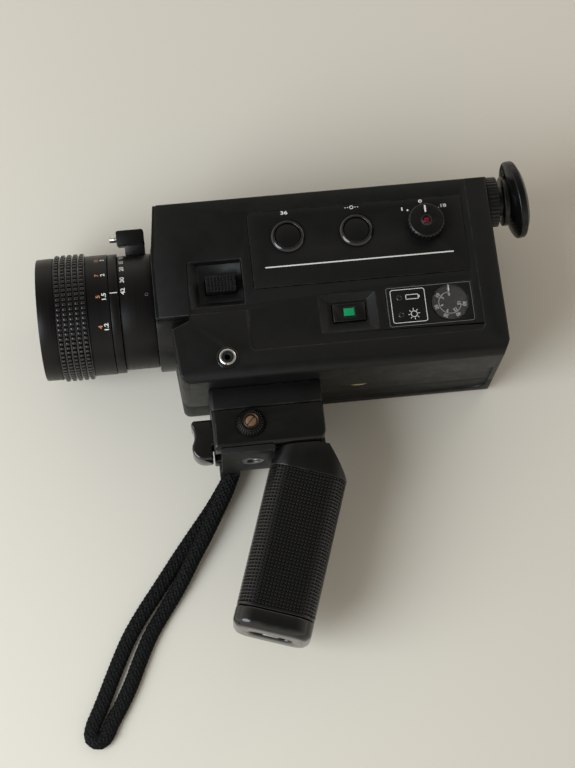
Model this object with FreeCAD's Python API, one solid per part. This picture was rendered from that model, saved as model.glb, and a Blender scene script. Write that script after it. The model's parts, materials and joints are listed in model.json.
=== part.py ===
import FreeCAD, Part
import math
import os

# Movie camera lying on its right side, in millimetres.
# +Z points up from the table, out of the camera's left side, where the controls are.
# +X points to the rear, away from the lens, and +Y is the camera's own up, away from the grip.
# The origin is on the right side that rests on the table, in line with the lens axis and in front
# of the film door. The front of the lens collar is 40 mm ahead of it.

V = FreeCAD.Vector
X_AXIS = V(1, 0, 0)
Y_AXIS = V(0, 1, 0)
Z_AXIS = V(0, 0, 1)

# Fits
running = 0.08
gap = 0.3
seat_gap = 0.15

# Casing
body_front = -40.0
body_length = 164.5
body_top = 41.7
body_bottom = -47.7
side_depth = 62.4
border_rise = 0.8
crown_rise = 4.0
crown_run = 11.0
far_round = 5.0
near_round = 4.2
shell_wall = 2.2
split_height = 20.5
front_lean = 3.0
lean_start_y = 15.0
front_plate_depth = 1.5
body_rear = body_front + body_length
axis_height = side_depth / 2
border_height = side_depth + border_rise

# Raised border of the left side, with the lens bulge in its lower front corner
border_front_y = -15.0
border_bottom_y = -35.2
border_corner_x = body_front + 42.8
border_rear_x = body_rear - 10.8
border_round = 2.7
bulge_front_x = body_front + 6.8
bulge_foot_x = body_front + 9.4
bulge_top_y = -21.2
bulge_shoulder_x = body_front + 15.8
bulge_shoulder_y = -17.3
rear_chamfer_x = 3.2
rear_chamfer_y = 6.7
bulge_edge_round = 1.2
bulge_foot_round = 4.5

# Shallow field in the bottom, behind the handle, with a lip on its near side
underside_depth = 1.2
underside_margin = 1.5
underside_far_z = 8.0
underside_lip_z = 33.5
underside_rear_lip_z = 41.0
underside_step_x = body_front + 129.4
underside_rear_x = body_front + 158.8
underside_round = 7.0

# Lens, from the front rim to the tube behind the collar
collar_radius = 30.3
collar_bore = 26.0
collar_depth = 16.0
barrel_radius = 25.0
barrel_bore = 22.5
rear_tube_radius = 12.0
rear_tube_bore = 10.4
ring_gap = 0.3
zoom_ring_radius = 27.8
zoom_ring_length = 16.0
index_ring_radius = 29.0
index_ring_length = 4.2
scale_length = 10.8
scale_radius = 29.2
grip_rib_length = 14.8
grip_rib_radius = 30.7
grip_ribs = 5
rib_groove_width = 0.9
rib_groove_depth = 1.1
rim_length = 8.6
rim_radius = 29.5
filter_radius = 27.5
filter_depth = 4.5
name_ring_bore = 22.0
front_glass_edge = 3.0
front_glass_bow = 3.2
lever_reach = 40.0
lever_head_length = 13.4
lever_stem_length = 9.6
lever_width = 9.0
lever_head_height = 7.5
lever_turn = 15.0
pin_radius = 1.6
pin_reach = 3.4

# Control plate, buttons and dial
plate_left_x = body_front + 47.5
plate_right_x = body_front + 150.7
plate_low_y = -4.8
plate_high_y = 33.6
plate_thickness = 1.0
plate_proud = 0.2
plate_corner = 1.2
button_y = 20.2
slow_button_x = body_front + 65.9
light_button_x = body_front + 98.9
dial_x = body_front + 132.3
button_radius = 6.0
bezel_radius = 8.25
bezel_bore = 6.4
bezel_height = 1.6
bezel_chamfer = 1.1
bezel_sink = 1.8
button_travel = 1.5
stem_radius = 2.2
dial_radius = 8.75
dial_height = 5.6
dial_shaft_radius = 2.2
dial_flutes = 28
dial_tab_width = 4.0
dial_tab_reach = 0.4
dial_plain_turn = 25.0
flute_depth = 0.45
lamp_radius = 1.8
board_top = side_depth - 7.4
board_thickness = 1.6

# Zoom rocker in its sloped pocket
pocket_left_x = body_front + 17.0
pocket_right_x = body_front + 42.5
pocket_low_y = -11.8
pocket_high_y = 11.1
pocket_depth = 4.2
pocket_slope = 4.4
rocker_x = body_front + 32.0
rocker_y = -0.3
rocker_length = 14.2
rocker_width = 8.0
rocker_pin_radius = 1.0
rocker_pin_drop = 7.4
rocker_columns = 9
rocker_rows = 3
rocker_groove = 0.7

# Battery-check dish
dish_left_x = body_front + 76.8
dish_right_x = body_front + 104.0
dish_low_y = -29.9
dish_high_y = -11.0
dish_depth = 2.6
dish_slope = 4.0
check_left_x = body_front + 83.2
check_right_x = body_front + 98.6
check_low_y = -24.3
check_high_y = -15.4
check_window_size = 5.0

# Indicator plate and film counter
indicator_left_x = body_front + 108.7
indicator_right_x = body_front + 149.9
indicator_low_y = -30.3
indicator_high_y = -10.3
indicator_thickness = 0.6
counter_x = body_front + 138.9
counter_y = -20.1
counter_radius = 8.8
counter_window_thickness = 1.0
counter_disc_thickness = 0.8
counter_shaft_radius = 1.5

# Remote-release jack
jack_x = body_front + 31.7
jack_y = -37.8
jack_nut_radius = 4.0
jack_nut_height = 1.8
jack_bore = 1.4
jack_barrel_radius = 3.0
jack_depth = 11.0

# Film chamber, sized by the sealed film cartridge
cartridge_length = 72.5
cartridge_height = 66.7
cartridge_depth = 24.0
chamber_play = 1.2
chamber_wall = 1.4
chamber_floor = axis_height + 8.0
chamber_front_x = body_front + 60.5
spindle_x = chamber_front_x + chamber_play + cartridge_length / 2
spindle_y = 0.0

# Film door on the right side
door_left_x = body_front + 52.0
door_hinge_x = body_front + 157.5
door_low_y = -38.0
door_high_y = 38.0
door_sink = 0.4
door_thickness = 2.2
hinge_pin_radius = 1.0
knuckle_radius = 2.1
hinge_height = door_sink + knuckle_radius
hinge_bearing = 4.0
window_length = 22.0
window_height = 12.0
window_x = body_front + 128.0
pad_margin = 14.5
pad_half_width = 22.0
pad_wall = 1.6
latch_length = 12.0
latch_width = 9.0
latch_travel = 3.0
latch_margin = 3.0

# Film works
gear_module = 0.8
shutter_teeth = 28
motor_teeth = 12
worm_wheel_teeth = 18
idler_teeth = 14
spindle_teeth = 42
drive_plate_x = body_front + 42.6
drive_plate_thickness = 1.8
rear_tube_end = drive_plate_x + drive_plate_thickness
shutter_y = -18.0
shutter_z = axis_height + 5.8
shutter_radius = 22.4
shutter_x = rear_tube_end + 0.6
shutter_gear_x = body_front + 50.0
gear_width = 2.4
motor_radius = 6.0
motor_z = chamber_floor + chamber_wall + gap + motor_radius
motor_length = 32.0
motor_front_x = body_front + 61.0
drive_plate_top_y = 13.0
drive_plate_far_z = 16.2
drive_plate_near_z = side_depth - 6.9
shaft_radius = 1.2
worm_radius = 3.0
worm_core_radius = 2.0
worm_length = 9.0
claw_y = -5.9
claw_stroke = 4.2
claw_slot = claw_stroke + 1.0 + 0.8

# Viewfinder and eyepiece
finder_y = 33.9
finder_z = axis_height + 17.8
finder_radius = 7.4
finder_bore = 6.2
finder_front_x = body_front + 30.0
dioptre_radius = 12.2
dioptre_length = 5.4
dioptre_flutes = 36
spigot_length = 6.0
eye_bore = 5.2
eye_neck_radius = 7.0
eye_neck_length = 2.6
eye_flange_length = 2.4
eyecup_radius = 19.0
eyecup_tilt = 7.0
eye_stub_radius = 8.6
eye_stub_length = 3.4
eye_lens_radius = 7.0

# Handle block under the body
block_front_x = body_front + 21.4
block_rear_x = body_front + 74.5
block_depth = 35.6
block_far_z = axis_height - block_depth / 2
block_near_z = axis_height + block_depth / 2
block_seam_y = -58.5
block_floor_y = -77.0
base_plate_front_x = body_front + 24.8
base_plate_rear_x = body_front + 49.3
base_plate_thickness = 3.0
block_edge_round = 2.2
tripod_x = body_front + 39.6
tripod_radius = 3.175
tripod_depth = 9.0
tripod_bush_radius = 5.5
lock_dial_x = body_front + 39.8
lock_dial_y = -66.1
lock_dial_radius = 7.0
lock_dial_height = 3.6
lock_dial_flutes = 26
lock_screw_radius = 2.6
lock_screw_depth = 5.0

# Trigger, which slides into the block
trigger_front_x = body_front + 11.3
trigger_top_y = -59.4
trigger_floor_y = -78.8
trigger_width = 13.0
trigger_travel = 3.5
trigger_stem_length = 8.0

# Folding grip, drawn upright about its pivot and then leaned forward
grip_pivot_x = body_front + 69.3
grip_pivot_y = -71.9
grip_lean = 19.1
grip_fold_range = 105.0
grip_length_s0 = 20.0
grip_sleeve_length = 67.5
grip_front_t = -16.7
grip_rear_t = 20.2
grip_width = 34.6
grip_corner = 9.5
sleeve_thickness = 1.6
cheek_radius = 5.3
knuckle_width = 17.0
grip_pin_radius = 2.0
grip_pin_cover = 2.0
cell_length = 50.5
cell_diameter = 14.5
chamber_side = 2 * cell_diameter + 0.6
cap_length = 9.5
cap_plug_length = 3.0
cap_slot_length = 20.0
cap_slot_width = 8.0
cap_slot_depth = 3.0

# Wrist strap: a limp cord of two runs that lies on the table
strap_width = 7.4
strap_sides = 8
strap_route = [
    (-11.4, -80.2, 3.7),
    (-19.2, -91.8, 3.7),
    (-30.3, -106.0, 3.7),
    (-43.3, -121.2, 3.7),
    (-55.7, -136.9, 3.7),
    (-66.7, -152.4, 3.7),
    (-76.0, -167.8, 3.7),
    (-82.3, -180.3, 3.7),
    (-90.1, -192.2, 3.7),
    (-88.3, -198.2, 3.7),
    (-82.8, -201.1, 3.7),
    (-76.9, -199.3, 3.7),
    (-71.4, -187.5, 3.7),
    (-66.0, -173.0, 3.7),
    (-58.8, -157.5, 3.7),
    (-48.0, -140.8, 3.7),
    (-36.4, -126.6, 4.6),
    (-27.5, -113.2, 8.2),
    (-20.4, -99.4, 10.6),
    (-14.6, -88.6, 11.3),
    (-10.6, -80.2, 11.3),
]
lug_width = 9.6
lug_depth = 6.0
lug_floor = 0.6

reach_over = 200.0


def box(x0, x1, y0, y1, z0, z1):
    return Part.makeBox(x1 - x0, y1 - y0, z1 - z0, V(x0, y0, z0))


def half_space(height, side):
    # Everything above the height for side 1, or below it for side -1
    far = height + side * reach_over
    return box(-reach_over, reach_over, -reach_over, reach_over, min(height, far), max(height, far))


def cylinder(radius, length, base, axis):
    return Part.makeCylinder(radius, length, base, axis)


def tube(outer, inner, length, base, axis):
    core = Part.makeCylinder(inner, length, base, axis)
    return Part.makeCylinder(outer, length, base, axis).cut(core)


def prism(points, z0, z1):
    corners = [V(x, y, z0) for x, y in points]
    face = Part.Face(Part.makePolygon(corners + corners[:1]))
    return face.extrude(V(0, 0, z1 - z0))


def lens_turn(points):
    # A profile of (x, radius) points turned about the lens axis
    corners = [V(x, radius, 0) for x, radius in points]
    face = Part.Face(Part.makePolygon(corners + corners[:1]))
    turned = face.revolve(V(0, 0, 0), X_AXIS, 360)
    turned.translate(V(0, 0, axis_height))
    return turned


def rounded_plate(x0, x1, y0, y1, z0, z1, radius):
    plate = box(x0, x1, y0, y1, z0, z1)
    upright = [edge for edge in plate.Edges if abs(edge.tangentAt(edge.FirstParameter).z) > 0.9]
    return plate.makeFillet(radius, upright)


def sloped_well(x0, x1, y0, y1, top, depth, slopes):
    # A recess whose left, right, low and high walls slope in by the given amounts
    left, right, low, high = slopes
    rim = [V(x0, y0, top), V(x1, y0, top), V(x1, y1, top), V(x0, y1, top)]
    low_z = top - depth
    foot = [V(x0 + left, y0 + low, low_z), V(x1 - right, y0 + low, low_z)]
    foot += [V(x1 - right, y1 - high, low_z), V(x0 + left, y1 - high, low_z)]
    wires = [Part.makePolygon(rim + rim[:1]), Part.makePolygon(foot + foot[:1])]
    return Part.makeLoft(wires, True, True)


def gear(teeth, width, bore):
    # Straight-flanked spur gear about +Z, one tooth centred on +X, with play at its flanks
    pitch = gear_module * teeth / 2
    tip = pitch + 0.8 * gear_module
    root = pitch - 1.15 * gear_module
    step = 2 * math.pi / teeth
    points = []
    for tooth in range(teeth):
        middle = tooth * step
        for radius, share in ((root, -0.31), (tip, -0.1), (tip, 0.1), (root, 0.31)):
            angle = middle + share * step
            points.append(V(radius * math.cos(angle), radius * math.sin(angle), 0))
    solid = Part.Face(Part.makePolygon(points + points[:1])).extrude(V(0, 0, width))
    if bore > 0:
        solid = solid.cut(Part.makeCylinder(bore, width))
    return solid


def flutes(radius, depth, length, turns):
    # V grooves along +Z at the given turns about it, to be cut from a round knob
    bars = []
    for turn in turns:
        bar = box(-depth, depth, -depth, depth, 0, length)
        bar.rotate(V(0, 0, 0), Z_AXIS, 45)
        bar.translate(V(radius + depth * (math.sqrt(2) - 1), 0, 0))
        bar.rotate(V(0, 0, 0), Z_AXIS, turn)
        bars.append(bar)
    return Part.makeCompound(bars)


def turn_z_to_x(shape):
    # Lays a shape drawn about +Z along +X
    shape.rotate(V(0, 0, 0), Y_AXIS, 90)
    return shape


def side_section(inset, near):
    # Closed outline of the casing across X, as a face in the plane X = 0
    low = body_bottom + inset
    high = body_top - inset
    peak = high + crown_rise
    z0 = inset
    z1 = near - inset
    far_r = far_round - inset
    near_r = near_round - inset
    cut = math.sqrt(0.5)
    far_mid = V(0, low + far_r * (1 - cut), z0 + far_r * (1 - cut))
    near_mid = V(0, low + near_r * (1 - cut), z1 - near_r * (1 - cut))
    a = V(0, low, z0 + far_r)
    b = V(0, low + far_r, z0)
    c = V(0, high, z0)
    d = V(0, peak, z0 + crown_run)
    e = V(0, peak, z1 - crown_run)
    f = V(0, high, z1)
    g = V(0, low + near_r, z1)
    h = V(0, low, z1 - near_r)
    edges = [Part.Arc(a, far_mid, b).toShape()]
    for start, end in ((b, c), (c, d), (d, e), (e, f), (f, g)):
        edges.append(Part.LineSegment(start, end).toShape())
    edges.append(Part.Arc(g, near_mid, h).toShape())
    edges.append(Part.LineSegment(h, a).toShape())
    return Part.Face(Part.Wire(edges))


def front_slope():
    return front_lean / (body_top - lean_start_y)


def casing_outline(inset):
    # The casing behind the front plate, seen from the left side, with the bulge below the collar
    lean = front_slope()
    front = body_front + front_plate_depth + inset
    top = body_top + crown_rise + 1.0
    rear = body_rear - inset
    low = body_bottom
    step_y = border_front_y + inset
    points = [
        (front, step_y),
        (front, lean_start_y),
        (front + lean * (top - lean_start_y), top),
        (rear, top),
        (rear, body_bottom + rear_chamfer_y),
        (rear - rear_chamfer_x, low),
        (bulge_foot_x + inset, low),
        (bulge_front_x + inset, bulge_top_y),
        (bulge_shoulder_x + inset, bulge_shoulder_y),
        (bulge_shoulder_x + inset, step_y),
    ]
    return points


def casing_solid(inset, near):
    bar = side_section(inset, near).extrude(V(body_length + 10, 0, 0))
    bar.translate(V(body_front - 5, 0, 0))
    outline = prism(casing_outline(inset), -1, near + 1)
    if inset == 0:
        foot = [edge for edge in outline.Edges
                if abs(edge.CenterOfMass.x - bulge_foot_x) < 0.01 and abs(edge.tangentAt(0).z) > 0.9]
        outline = outline.makeFillet(bulge_foot_round, foot)
    return bar.common(outline)


def recess_area():
    # The sunk field of the left side, open at the front and at the top
    x0 = body_front - 2
    top = body_top + crown_rise + 2
    points = [
        (x0, border_front_y),
        (border_corner_x, border_front_y),
        (border_corner_x, border_bottom_y),
        (border_rear_x, border_bottom_y),
        (border_rear_x, top),
        (x0, top),
    ]
    field = prism(points, side_depth, border_height + 2)
    lower = []
    for edge in field.Edges:
        middle = edge.CenterOfMass
        if abs(edge.tangentAt(edge.FirstParameter).z) > 0.9 and abs(middle.y - border_bottom_y) < 0.01:
            lower.append(edge)
    return field.makeFillet(border_round, lower)


def bulge_edges(shell):
    # The bulge's front edges on the near side, from its shoulder down to the rounded bottom
    found = []
    for edge in shell.Edges:
        middle = edge.CenterOfMass
        on_near = abs(middle.z - border_height) < 0.01
        on_front = bulge_front_x - 0.1 < middle.x < bulge_shoulder_x and middle.y < bulge_shoulder_y
        if on_near and on_front and abs(edge.tangentAt(edge.FirstParameter).x) < 0.95:
            found.append(edge)
    return found


def underside_recess():
    x0 = block_rear_x + underside_margin
    y0 = body_bottom - 1
    y1 = body_bottom + underside_depth
    field = box(x0, underside_rear_x, y0, y1, underside_far_z, underside_lip_z)
    rear = box(underside_step_x, underside_rear_x, y0, y1, underside_lip_z - 1, underside_rear_lip_z)
    field = field.fuse(rear).removeSplitter()
    corner = []
    for edge in field.Edges:
        middle = edge.CenterOfMass
        upright = abs(edge.tangentAt(edge.FirstParameter).y) > 0.9
        if upright and abs(middle.x - underside_rear_x) < 0.01 and abs(middle.z - underside_far_z) < 0.01:
            corner.append(edge)
    return field.makeFillet(underside_round, corner)


def plate_hole(x, y, radius):
    return cylinder(radius, 20, V(x, y, side_depth - 12), Z_AXIS)


def left_shell():
    outer = casing_solid(0, border_height).cut(recess_area())
    outer = outer.makeFillet(bulge_edge_round, bulge_edges(outer))
    outer = outer.cut(underside_recess()).common(half_space(split_height, 1))
    hollow = casing_solid(shell_wall, side_depth)
    # Wells that hang inside the near wall
    rocker_well = box(pocket_left_x, pocket_right_x + 1.6, pocket_low_y - 1, pocket_high_y + 1,
                      side_depth - pocket_depth - 1.6, side_depth - 1)
    dish_well = box(dish_left_x, dish_right_x, dish_low_y, dish_high_y,
                    side_depth - dish_depth - 1.6, side_depth - 1)
    shell = outer.cut(hollow).fuse(rocker_well).fuse(dish_well)
    shell = shell.cut(sloped_well(pocket_left_x, pocket_right_x, pocket_low_y, pocket_high_y,
                                  side_depth + 0.01, pocket_depth, (pocket_slope, 0.4, 3.2, 0.4)))
    shell = shell.cut(sloped_well(dish_left_x, dish_right_x, dish_low_y, dish_high_y,
                                  side_depth + 0.01, dish_depth, (dish_slope, dish_slope, 3.0, 3.0)))
    cuts = [
        box(rocker_x - rocker_length / 2 - 0.45, rocker_x + rocker_length / 2 + 0.45,
            rocker_y - rocker_width / 2 - gap, rocker_y + rocker_width / 2 + gap, 50, side_depth),
        box(check_left_x - gap, check_right_x + gap, check_low_y - gap, check_high_y + gap, 50, side_depth),
        rounded_plate(plate_left_x - seat_gap, plate_right_x + seat_gap, plate_low_y - seat_gap,
                      plate_high_y + seat_gap, side_depth + plate_proud - plate_thickness,
                      side_depth + 5, plate_corner),
        rounded_plate(indicator_left_x - seat_gap, indicator_right_x + seat_gap,
                      indicator_low_y - seat_gap, indicator_high_y + seat_gap,
                      side_depth - indicator_thickness, side_depth + 5, plate_corner),
        plate_hole(slow_button_x, button_y, bezel_radius + seat_gap),
        plate_hole(light_button_x, button_y, bezel_radius + seat_gap),
        plate_hole(dial_x, button_y, dial_shaft_radius + running),
        plate_hole(counter_x, counter_y, counter_radius + 0.6),
        plate_hole(jack_x, jack_y, jack_barrel_radius + running),
        cylinder(collar_radius + seat_gap, collar_depth + 10, V(body_front - 10, 0, axis_height), X_AXIS),
        cylinder(finder_radius + running, 20, V(body_rear - 10, finder_y, finder_z), X_AXIS),
    ]
    for cut in cuts:
        shell = shell.cut(cut)
    ears = rocker_ears()
    return shell.fuse(ears).removeSplitter()


def rocker_ears():
    # Two ears under the pocket floor that carry the rocker's pin
    pin_z = side_depth - rocker_pin_drop
    floor_z = side_depth - pocket_depth - 1.6
    inner = rocker_width / 2 + gap
    ears = None
    for side in (-1, 1):
        y0 = rocker_y + side * inner
        y1 = rocker_y + side * (inner + 2.0)
        ear = box(rocker_x - 2.5, rocker_x + 2.5, min(y0, y1), max(y0, y1), pin_z - 2, floor_z + 0.4)
        ears = ear if ears is None else ears.fuse(ear)
    pin = cylinder(rocker_pin_radius, 30, V(rocker_x, rocker_y - 15, pin_z), Y_AXIS)
    return ears.cut(pin)


def right_shell():
    outer = casing_solid(0, side_depth).common(half_space(split_height, -1))
    shell = outer.cut(underside_recess()).cut(casing_solid(shell_wall, side_depth))
    door_end = door_hinge_x + knuckle_radius + gap
    opening = box(door_left_x, door_end, door_low_y, door_high_y, -1, shell_wall + 3)
    boss_low = door_high_y - hinge_bearing
    shell = shell.cut(opening)
    for y0 in (door_low_y, boss_low):
        boss = cylinder(knuckle_radius, hinge_bearing, V(door_hinge_x, y0, hinge_height), Y_AXIS)
        foot = box(door_hinge_x, door_end + 1.2, y0, y0 + hinge_bearing,
                   door_sink, door_sink + 2 * knuckle_radius)
        shell = shell.fuse(boss).fuse(foot)
    collar = cylinder(collar_radius + seat_gap, collar_depth + 10, V(body_front - 10, 0, axis_height), X_AXIS)
    return shell.cut(door_hinge_pin()).cut(collar).removeSplitter()


def front_plate():
    # Front frame of the casing with the round collar that the lens comes out of
    lean = front_slope()
    top = body_top + crown_rise + 1.0
    side = [
        (body_front, -collar_radius - 1),
        (body_front, lean_start_y),
        (body_front + lean * (top - lean_start_y), top),
        (body_front + front_plate_depth + lean * (top - lean_start_y), top),
        (body_front + front_plate_depth, lean_start_y),
        (body_front + front_plate_depth, -collar_radius - 1),
    ]
    bar = side_section(0, side_depth).extrude(V(30, 0, 0))
    bar.translate(V(body_front - 5, 0, 0))
    sheet = bar.common(prism(side, -1, side_depth + 1))
    upper = sheet.common(box(-reach_over, reach_over, border_front_y, reach_over, -1, reach_over))
    collar = cylinder(collar_radius, collar_depth, V(body_front, 0, axis_height), X_AXIS)
    plate = upper.fuse(collar)
    bore = cylinder(collar_bore, collar_depth + 2, V(body_front - 1, 0, axis_height), X_AXIS)
    return plate.cut(bore).removeSplitter()


def lens_barrel():
    # Fixed tube: helicoid at the front, bearing for the zoom ring, thin tube behind the collar
    front = body_front - zoom_ring_length - index_ring_length - ring_gap - scale_length - 10.0
    flange = body_front + collar_depth - 2
    return lens_turn([
        (front, barrel_bore),
        (front, barrel_radius),
        (flange, barrel_radius),
        (flange, collar_bore - running),
        (flange + 2, collar_bore - running),
        (flange + 2, rear_tube_radius),
        (rear_tube_end, rear_tube_radius),
        (rear_tube_end, rear_tube_bore),
        (flange, rear_tube_bore),
        (flange, barrel_bore),
    ])


def zoom_front():
    return body_front - ring_gap - zoom_ring_length


def index_front():
    return zoom_front() - ring_gap - index_ring_length


def focus_front():
    return index_front() - ring_gap - scale_length - grip_rib_length - rim_length


def zoom_ring():
    x0 = zoom_front()
    bore = barrel_radius + running
    return lens_turn([(x0, bore), (x0, zoom_ring_radius), (x0 + zoom_ring_length, zoom_ring_radius),
                      (x0 + zoom_ring_length, bore)])


def zoom_lever():
    # Lever on the zoom ring: a stem with a wider head that reaches forward
    rear = body_front - 2.6
    half = lever_width / 2
    z = axis_height
    foot = zoom_ring_radius - 1.6
    head_foot = lever_reach - lever_head_height
    stem = box(rear - lever_stem_length, rear, foot, head_foot + 1, z - half + 1, z + half - 1)
    head = box(rear - lever_head_length, rear, head_foot, lever_reach, z - half, z + half)
    upright = [edge for edge in head.Edges if abs(edge.tangentAt(edge.FirstParameter).z) > 0.9]
    head = head.makeFillet(1.2, upright)
    ring = cylinder(zoom_ring_radius, 40, V(body_front - 30, 0, z), X_AXIS)
    hole = cylinder(pin_radius + running, 9, V(rear - lever_head_length - 1, lever_reach - 3.6, z), X_AXIS)
    return turn_lever(stem.fuse(head).cut(ring).cut(hole).removeSplitter())


def turn_lever(shape):
    # The lever leans from straight up towards the left side
    shape.rotate(V(0, 0, axis_height), X_AXIS, lever_turn)
    return shape


def macro_pin():
    tip = body_front - 2.6 - lever_head_length - pin_reach
    return turn_lever(cylinder(pin_radius, pin_reach + 5.0, V(tip, lever_reach - 3.6, axis_height), X_AXIS))


def index_ring():
    x0 = index_front()
    x1 = x0 + index_ring_length
    outer = [(x0, index_ring_radius), (x1, index_ring_radius)]
    return lens_turn([(x0, barrel_radius)] + outer + [(x1, barrel_radius)])


def focus_ring():
    # Outside from the rear: scale, finger ribs, front rim. Inside: bearing, lens cell, filter thread
    rear = index_front() - ring_gap
    scale_front = rear - scale_length
    rim_rear = scale_front - grip_rib_length
    front = rim_rear - rim_length
    cell = lens_seat()
    bore = barrel_radius + running
    profile = [(rear, bore), (rear, scale_radius), (scale_front, scale_radius)]
    profile.append((scale_front, grip_rib_radius))
    pitch = grip_rib_length / grip_ribs
    groove_radius = grip_rib_radius - rib_groove_depth
    for place in range(1, grip_ribs):
        middle = scale_front - place * pitch
        for x, radius in ((middle + rib_groove_width / 2, grip_rib_radius),
                          (middle + rib_groove_width / 2, groove_radius),
                          (middle - rib_groove_width / 2, groove_radius),
                          (middle - rib_groove_width / 2, grip_rib_radius)):
            profile.append((x, radius))
    profile += [(rim_rear, grip_rib_radius), (rim_rear, rim_radius)]
    profile += [(front, rim_radius), (front, filter_radius), (front + filter_depth, filter_radius)]
    profile += [(cell, name_ring_bore + 0.6), (cell + front_glass_edge, name_ring_bore + 0.6)]
    profile += [(cell + front_glass_edge, bore)]
    return lens_turn(profile)


def bowed_lens(x, thickness, radius, front_bow, rear_bow):
    # Glass element about the lens axis whose two round faces bow out by the given heights
    tip = x - front_bow
    glass = cylinder(radius, thickness + front_bow + rear_bow, V(tip, 0, axis_height), X_AXIS)
    front_sphere = (radius * radius + front_bow * front_bow) / (2 * front_bow)
    rear_sphere = (radius * radius + rear_bow * rear_bow) / (2 * rear_bow)
    glass = glass.common(Part.makeSphere(front_sphere, V(tip + front_sphere, 0, axis_height)))
    rear_tip = x + thickness + rear_bow
    return glass.common(Part.makeSphere(rear_sphere, V(rear_tip - rear_sphere, 0, axis_height)))


def front_element():
    # Its crown stays just behind the filter thread
    return bowed_lens(lens_seat(), front_glass_edge, name_ring_bore + 0.6 - seat_gap, front_glass_bow, 1.6)


def lens_seat():
    return focus_front() + filter_depth + front_glass_bow + gap


def zoom_group():
    # Moving zoom element in its cell, which slides inside the fixed barrel
    x = body_front - 16.0
    cell = cylinder(barrel_bore - running, 6.0, V(x, 0, axis_height), X_AXIS)
    recess = cylinder(17.0, 1.5, V(x, 0, axis_height), X_AXIS)
    return cell.cut(recess)


def iris():
    x = body_front + collar_depth + 4.0
    return tube(rear_tube_bore - running, 3.2, 1.2, V(x, 0, axis_height), X_AXIS)


def rear_element():
    return cylinder(rear_tube_bore - running, 3.5, V(rear_tube_end - 5.0, 0, axis_height), X_AXIS)


def control_plate():
    top = side_depth + plate_proud
    plate = rounded_plate(plate_left_x, plate_right_x, plate_low_y, plate_high_y, top - plate_thickness, top,
                          plate_corner)
    for x in (slow_button_x, light_button_x):
        plate = plate.cut(plate_hole(x, button_y, bezel_radius))
    return plate.cut(plate_hole(dial_x, button_y, dial_shaft_radius + running))


def button_bezels():
    # A ring round each button, flanged on its hole, with a chamfered crown
    rings = []
    base = side_depth + plate_proud - plate_thickness - bezel_sink
    crown = side_depth + plate_proud + bezel_height
    for x in (slow_button_x, light_button_x):
        ring = tube(bezel_radius, bezel_bore, crown - base, V(x, button_y, base), Z_AXIS)
        longest = max(edge.Length for edge in ring.Edges if abs(edge.CenterOfMass.z - crown) < 0.01)
        outer = [edge for edge in ring.Edges
                 if abs(edge.CenterOfMass.z - crown) < 0.01 and edge.Length > longest - 0.1]
        ring = ring.makeChamfer(bezel_chamfer, outer)
        rings.append(ring)
    return Part.makeCompound(rings)


def push_button(x):
    top = side_depth + plate_proud + 0.9
    low = top - 3.6
    cap = cylinder(button_radius, top - low, V(x, button_y, low), Z_AXIS)
    foot = board_top + button_travel + gap
    stem = cylinder(stem_radius, low - foot, V(x, button_y, foot), Z_AXIS)
    return cap.fuse(stem)


def run_dial():
    # Round knob with a pointer tab, bored at its top for the run lamp
    base = side_depth + plate_proud + 0.2
    knob = cylinder(dial_radius, dial_height, V(dial_x, button_y, base), Z_AXIS)
    top = base + dial_height
    crown = [edge for edge in knob.Edges if abs(edge.CenterOfMass.z - top) < 0.01 and edge.Closed]
    knob = knob.makeChamfer(0.8, crown[:1])
    # The flutes leave the pointer tab's side of the knob plain
    steps = [360.0 * place / dial_flutes for place in range(dial_flutes)]
    knurled = [turn for turn in steps if abs(turn - 90) > dial_plain_turn]
    grooves = flutes(dial_radius, flute_depth, dial_height + 2, knurled)
    grooves.translate(V(dial_x, button_y, base - 1))
    knob = knob.cut(grooves)
    half = dial_tab_width / 2
    rim_y = button_y + dial_radius
    tab = box(dial_x - half, dial_x + half, rim_y - 2.5, rim_y + dial_tab_reach, base, top - 1.4)
    foot = board_top + gap
    shaft = cylinder(dial_shaft_radius, base - foot, V(dial_x, button_y, foot), Z_AXIS)
    hole = cylinder(lamp_radius, 2.6, V(dial_x, button_y, base + dial_height - 2.6), Z_AXIS)
    return knob.fuse(tab).fuse(shaft).cut(hole).removeSplitter()


def run_lamp():
    base = side_depth + plate_proud + 0.2 + dial_height - 2.6
    return cylinder(lamp_radius, 2.2, V(dial_x, button_y, base), Z_AXIS)


def zoom_rocker():
    # Rocker key with rows of finger studs on its top, bored for its pin
    pin_z = side_depth - rocker_pin_drop
    top = side_depth + 0.4
    x0 = rocker_x - rocker_length / 2
    y0 = rocker_y - rocker_width / 2
    key = box(x0, x0 + rocker_length, y0, y0 + rocker_width, pin_z + 0.4, top)
    boss = cylinder(2.2, rocker_width, V(rocker_x, y0, pin_z), Y_AXIS)
    key = key.fuse(boss)
    half = rocker_groove / 2
    low = top - rocker_groove
    for place in range(1, rocker_columns):
        x = x0 + place * rocker_length / rocker_columns
        key = key.cut(box(x - half, x + half, y0 - 1, y0 + rocker_width + 1, low, top + 1))
    for place in range(1, rocker_rows):
        y = y0 + place * rocker_width / rocker_rows
        key = key.cut(box(x0 - 1, x0 + rocker_length + 1, y - half, y + half, low, top + 1))
    pin = cylinder(rocker_pin_radius + running, 30, V(rocker_x, rocker_y - 15, pin_z), Y_AXIS)
    return key.cut(pin).removeSplitter()


def rocker_pin():
    pin_z = side_depth - rocker_pin_drop
    half = rocker_width / 2 + gap + 2.0
    return cylinder(rocker_pin_radius, 2 * half, V(rocker_x, rocker_y - half, pin_z), Y_AXIS)


def battery_check_button():
    top = side_depth - dish_depth + 1.0
    foot = board_top + 1.2 + gap
    key = box(check_left_x, check_right_x, check_low_y, check_high_y, foot, top)
    half = check_window_size / 2
    x = check_middle_x()
    y = check_middle_y()
    well = box(x - half, x + half, y - half, y + half, top - 1.0, top + 1)
    return key.cut(well)


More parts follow.
